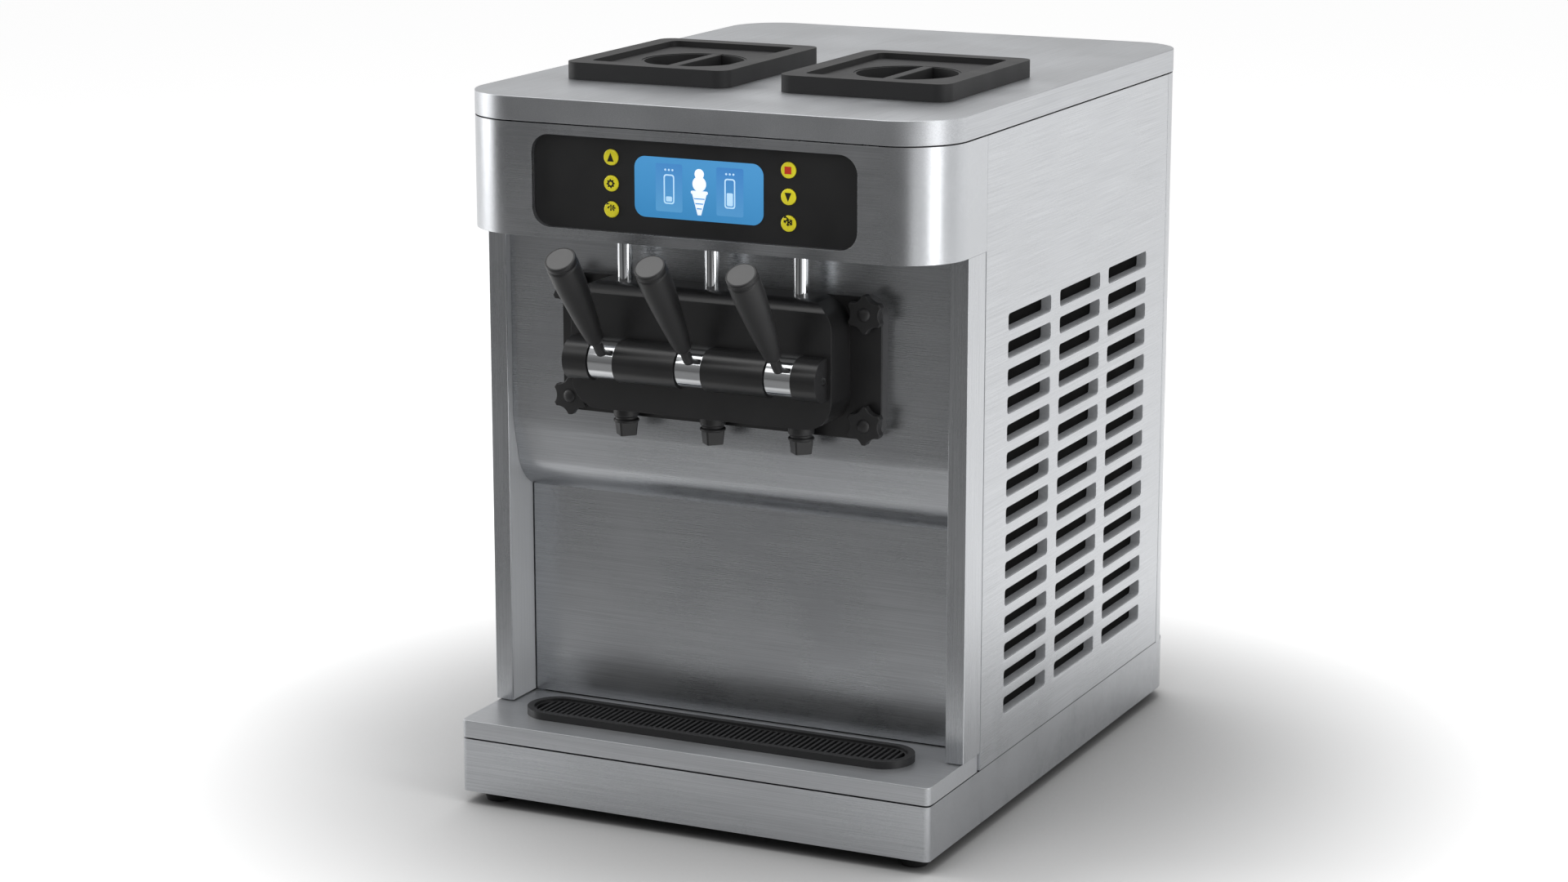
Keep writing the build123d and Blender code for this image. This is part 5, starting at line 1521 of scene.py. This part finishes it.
@dataclass
class DripStation:
    """Drip tray and its grille."""

    make: Maker
    rim_w: float = 6.0
    bevel: float = 1.5
    ledge: float = 2.2
    wall: float = 2.5
    pitch: float = 6.6
    bar_w: float = 3.3

    def build(self) -> None:
        """Make the tray and the grille."""
        t = BENCH.span("drip_tray")
        shelf = BENCH.span("front_shelf").z1
        f = self.make.finishes
        r = (t.y1 - t.y0) / 2
        length = t.x1 - t.x0
        mouth_r = r - self.bevel - self.rim_w
        well_r = mouth_r - self.ledge

        def slab(radius: float, z0: float, z1: float) -> bmesh.types.BMesh:
            """Slot-shaped slab about the tray's centre."""
            return prism([stadium(t.cx, t.cy, length - 2 * (r - radius), radius, 28)], Face.PLAN, z0, z1)

        rim = slab(r, shelf, t.z1)
        rim = soften(rim, self.bevel, 3, keep=lambda e: all(v.co.z > t.z1 - 0.01 for v in e.verts))
        tools = [("UNION", slab(well_r + self.wall, t.z0, shelf + 1)), ("DIFFERENCE", slab(mouth_r, shelf + 2, t.z1 + 2)),
                 ("DIFFERENCE", slab(well_r, t.z0 + self.wall, shelf + 3))]
        bm = carve(rim, tools)
        soften(bm, 0.5, 2, keep=lambda e: all(v.co.z > t.z1 - 0.01 for v in e.verts))
        self.make.piece("tray_moulding", bm, f.tray_black, "tray", ["drip_tray"], "tray_plastic", 34.0)
        g = BENCH.span("drip_grille")
        outer_r = (g.y1 - g.y0) / 2
        inner_r = outer_r - 2.6
        span = g.x1 - g.x0
        frame_ring = prism([stadium(g.cx, g.cy, span, outer_r, 28), stadium(g.cx, g.cy, span - 5.2, inner_r, 28)],
                           Face.PLAN, g.z0, g.z1)
        frame_ring = soften(frame_ring, 0.4, 2)
        straight = int((span / 2 - outer_r) / self.pitch)
        bar = prism([rounded(-self.bar_w / 2, self.bar_w / 2, g.cy - inner_r - 0.6, g.cy + inner_r + 0.6, 0)],
                    Face.PLAN, g.z0, g.z1)
        bar = soften(bar, 0.6, 2, keep=lambda e: all(v.co.z > g.z1 - 0.01 for v in e.verts))
        bars = self.make.row.run(shifted(bar, -straight * self.pitch, 0, 0), 2 * straight + 1, (self.pitch, 0, 0),
                                 f.tray_black)
        parts = [frame_ring, bars]
        half = span / 2 - outer_r
        for side in (-1, 1):
            for i in range(1, int(inner_r / self.pitch) + 2):
                x = (straight + i) * self.pitch
                reach = max(inner_r**2 - max(x - half, 0.0) ** 2, 0.0) ** 0.5 + 0.4
                if x + self.bar_w / 2 > half + inner_r - 1:
                    continue
                end_bar = prism([rounded(side * x - self.bar_w / 2, side * x + self.bar_w / 2, g.cy - reach,
                                         g.cy + reach, 0)], Face.PLAN, g.z0, g.z1)
                parts.append(soften(end_bar, 0.6, 2, keep=lambda e: all(v.co.z > g.z1 - 0.01 for v in e.verts)))
        self.make.piece("grille_bars", joined(parts), f.tray_black, "grille", ["drip_grille"], "tray_plastic", 40.0)


@dataclass
class Works:
    """The pieces inside the casing, which keep the frame's own meshes."""

    make: Maker

    def build(self) -> None:
        """Dress every inner node."""
        f = self.make.finishes
        self.make.dress(["chassis_frame"], f.zinc)
        self.make.dress(["freezing_barrel_left", "freezing_barrel_right"], f.tank_steel)
        self.make.dress(["beater_left", "beater_right"], f.paddle_white)
        self.make.dress(["gearbox_left", "gearbox_right"], f.paint_grey)
        self.make.dress(["drive_motor_left", "drive_motor_right", "compressor", "fan_motor", "fan_blade"],
                        f.paint_black)
        self.make.dress(["condenser"], f.fins)
        self.make.dress(["control_board"], f.board_green)
        self.make.dress(["feed_tubes"], f.seal_white)


# ---- studio -------------------------------------------------------------------------------------


@dataclass
class Softbox:
    """One area light."""

    name: str
    place: tuple[float, float, float]
    aim: tuple[float, float, float]
    size: tuple[float, float]
    power: float

    def build(self) -> None:
        """Hang the light, hidden from the camera."""
        light = bpy.data.lights.new(self.name, "AREA")
        light.shape = "RECTANGLE"
        light.size, light.size_y = self.size
        light.energy = self.power
        obj = bpy.data.objects.new(self.name, light)
        bpy.context.scene.collection.objects.link(obj)
        obj.location = self.place
        direction = Vector(self.aim) - Vector(self.place)
        obj.rotation_euler = direction.to_track_quat("-Z", "Y").to_euler()
        obj.visible_camera = False


@dataclass
class Studio:
    """Floor, lights, world and camera."""

    lens: float = 84.81
    azimuth: float = 25.505
    elevation: float = 13.008
    eye: tuple[float, float, float] = (1654.57, -3238.88, 1248.27)
    floor_size: float = 60.0
    floor_white: float = 0.66
    floor_seen: float = 0.64
    far_glow: float = 0.61
    glow_from: Point2 = (0.4, 0.98)
    front_dark: float = 0.23
    front_axis: Point2 = (-0.24, -0.97)
    front_wedge: Point2 = (0.62, 0.78)
    front_start: Point2 = (0.52, 0.75)
    # Painted contact shadow: how much the floor colour darkens near the machine, and within what distance.
    painted_shadow_depth: float = 0.78
    painted_shadow_reach: float = 0.5

    def build(self) -> None:
        """Set the stage."""
        self.camera()
        self.floor()
        self.world()
        middle = (0.0, 0.0, 0.4)
        for box in (
            Softbox("right_front_box", (2.7, -0.95, 1.2), middle, (1.0, 2.6), 25.0),
            Softbox("right_back_box", (2.4, 2.6, 1.3), middle, (3.0, 2.6), 8.0),
            Softbox("left_box", (-3.0, -0.7, 1.4), middle, (1.4, 2.4), 40.0),
            Softbox("overhead_box", (-0.3, 0.2, 3.4), middle, (3.4, 3.4), 54.0),
            Softbox("front_top_box", (-0.8, -2.6, 2.6), middle, (1.6, 1.2), 9.0),
        ):
            box.build()
        bpy.context.scene.view_settings.view_transform = "Standard"

    def camera(self) -> None:
        """Place the camera at the viewing angle."""
        data = bpy.data.cameras.new("camera")
        data.lens = self.lens
        data.clip_end = 200.0
        obj = bpy.data.objects.new("camera", data)
        bpy.context.scene.collection.objects.link(obj)
        az, el = math.radians(self.azimuth), math.radians(self.elevation)
        look = Vector((-math.sin(az) * math.cos(el), math.cos(az) * math.cos(el), -math.sin(el)))
        obj.location = BENCH.metres(*self.eye)
        obj.rotation_euler = look.to_track_quat("-Z", "Y").to_euler()
        bpy.context.scene.camera = obj

    def floor(self) -> None:
        """Plain pale floor that keeps the shadow, darkened near the machine by a painted contact shadow, with a dark
        cloth in front that only metal shows.
        """
        half = self.floor_size / 2
        mesh = bpy.data.meshes.new("floor")
        mesh.from_pydata([(-half, -half, 0), (half, -half, 0), (half, half, 0), (-half, half, 0)], [], [(0, 1, 2, 3)])
        obj = bpy.data.objects.new("floor", mesh)
        bpy.context.scene.collection.objects.link(obj)
        material = bpy.data.materials.new("floor_pale")
        material.use_nodes = True
        tree = material.node_tree
        nodes, links = tree.nodes, tree.links
        nodes.clear()
        out = nodes.new("ShaderNodeOutputMaterial")
        diffuse = nodes.new("ShaderNodeBsdfDiffuse")
        glow = nodes.new("ShaderNodeEmission")
        path = nodes.new("ShaderNodeLightPath")
        add = nodes.new("ShaderNodeAddShader")
        coords = nodes.new("ShaderNodeTexCoord")
        away = nodes.new("ShaderNodeVectorMath")
        away.operation = "LENGTH"
        ahead = nodes.new("ShaderNodeVectorMath")
        ahead.operation = "DOT_PRODUCT"
        ahead.inputs[1].default_value = (*self.front_axis, 0.0)
        links.new(coords.outputs["Object"], away.inputs[0])
        links.new(coords.outputs["Object"], ahead.inputs[0])
        turn = self.math(tree, "DIVIDE", ahead.outputs["Value"], away.outputs["Value"])
        front = self.math(tree, "MULTIPLY", self.mapped(tree, turn, self.front_wedge, (0.0, 1.0)),
                          self.mapped(tree, ahead.outputs["Value"], self.front_start, (0.0, 1.0)))
        cloth = self.math(tree, "MULTIPLY", front, path.outputs["Is Glossy Ray"])
        seen = self.math(tree, "ADD", path.outputs["Is Camera Ray"], path.outputs["Is Transmission Ray"])
        seen = self.math(tree, "ADD", seen, path.outputs["Is Glossy Ray"], True)
        plain = self.mapped(tree, seen, (0.0, 1.0), (self.floor_white, self.floor_seen))
        level = self.mixed(tree, cloth, plain, self.front_dark)
        # Painted shadow: an occlusion node darkens the floor's colour where the machine stands close by.
        near = nodes.new("ShaderNodeAmbientOcclusion")
        near.inputs["Distance"].default_value = self.painted_shadow_reach
        painted_shadow_share = self.mapped(tree, near.outputs["AO"], (0.0, 1.0), (1.0 - self.painted_shadow_depth, 1.0))
        links.new(self.math(tree, "MULTIPLY", level, painted_shadow_share), diffuse.inputs["Color"])
        far = self.mapped(tree, away.outputs["Value"], self.glow_from, (0.0, self.far_glow))
        bare = self.math(tree, "MULTIPLY", far, self.mapped(tree, cloth, (0.0, 1.0), (1.0, 0.0)))
        links.new(self.math(tree, "MULTIPLY", seen, bare), glow.inputs["Strength"])
        links.new(diffuse.outputs[0], add.inputs[0])
        links.new(glow.outputs[0], add.inputs[1])
        links.new(add.outputs[0], out.inputs["Surface"])
        mesh.materials.append(material)

    @staticmethod
    def math(tree: bpy.types.NodeTree, operation: str, a: bpy.types.NodeSocket, b: bpy.types.NodeSocket,
             clamp: bool = False) -> bpy.types.NodeSocket:
        """Join two values.

        Args:
            tree: The tree to add to.
            operation: What to do.
            a: First value.
            b: Second value.
            clamp: Keep the result from 0 to 1.

        Returns:
            The result.
        """
        node = tree.nodes.new("ShaderNodeMath")
        node.operation = operation
        node.use_clamp = clamp
        tree.links.new(a, node.inputs[0])
        tree.links.new(b, node.inputs[1])
        return node.outputs[0]

    def mixed(self, tree: bpy.types.NodeTree, share: bpy.types.NodeSocket, plain: bpy.types.NodeSocket,
              other: float) -> bpy.types.NodeSocket:
        """Blend a value with a constant.

        Args:
            tree: The tree to add to.
            share: Share of the constant.
            plain: The value.
            other: The constant.

        Returns:
            The blend.
        """
        node = tree.nodes.new("ShaderNodeMix")
        tree.links.new(share, node.inputs["Factor"])
        tree.links.new(plain, node.inputs["A"])
        node.inputs["B"].default_value = other
        return node.outputs["Result"]

    @staticmethod
    def mapped(tree: bpy.types.NodeTree, value: bpy.types.NodeSocket, source: Point2, target: Point2
               ) -> bpy.types.NodeSocket:
        """Carry a value smoothly from one range to another.

        Args:
            tree: The tree to add to.
            value: The value.
            source: Its range.
            target: The new range.

        Returns:
            The result.
        """
        node = tree.nodes.new("ShaderNodeMapRange")
        node.interpolation_type = "SMOOTHSTEP"
        node.inputs["From Min"].default_value, node.inputs["From Max"].default_value = source
        node.inputs["To Min"].default_value, node.inputs["To Max"].default_value = target
        tree.links.new(value, node.inputs["Value"])
        return node.outputs["Result"]

    def world(self) -> None:
        """White behind the machine, darker in front of it."""
        world = bpy.data.worlds.new("studio")
        world.use_nodes = True
        tree = world.node_tree
        nodes, links = tree.nodes, tree.links
        back = nodes["Background"]
        coords = nodes.new("ShaderNodeTexCoord")
        split = nodes.new("ShaderNodeSeparateXYZ")
        path = nodes.new("ShaderNodeLightPath")
        links.new(coords.outputs["Generated"], split.inputs[0])
        depth = self.mapped(tree, split.outputs["Y"], (-0.5, 0.6), (0.16, 0.55))
        height = self.mapped(tree, split.outputs["Z"], (0.1, 0.9), (0.0, 0.3))
        light = self.math(tree, "ADD", depth, height)
        level = self.math(tree, "MAXIMUM", light, path.outputs["Is Camera Ray"])
        links.new(level, back.inputs["Color"])
        back.inputs["Strength"].default_value = 1.0
        bpy.context.scene.world = world


def main() -> None:
    """Build the machine and the studio."""
    logging.basicConfig(level=logging.INFO, format="%(name)s %(message)s")
    make = Maker(Finishes())
    for part in (Casing(make), Controls(make), Head(make), Lids(make), DripStation(make), Works(make)):
        part.build()
    Studio().build()


if __name__ == "__main__":
    main()
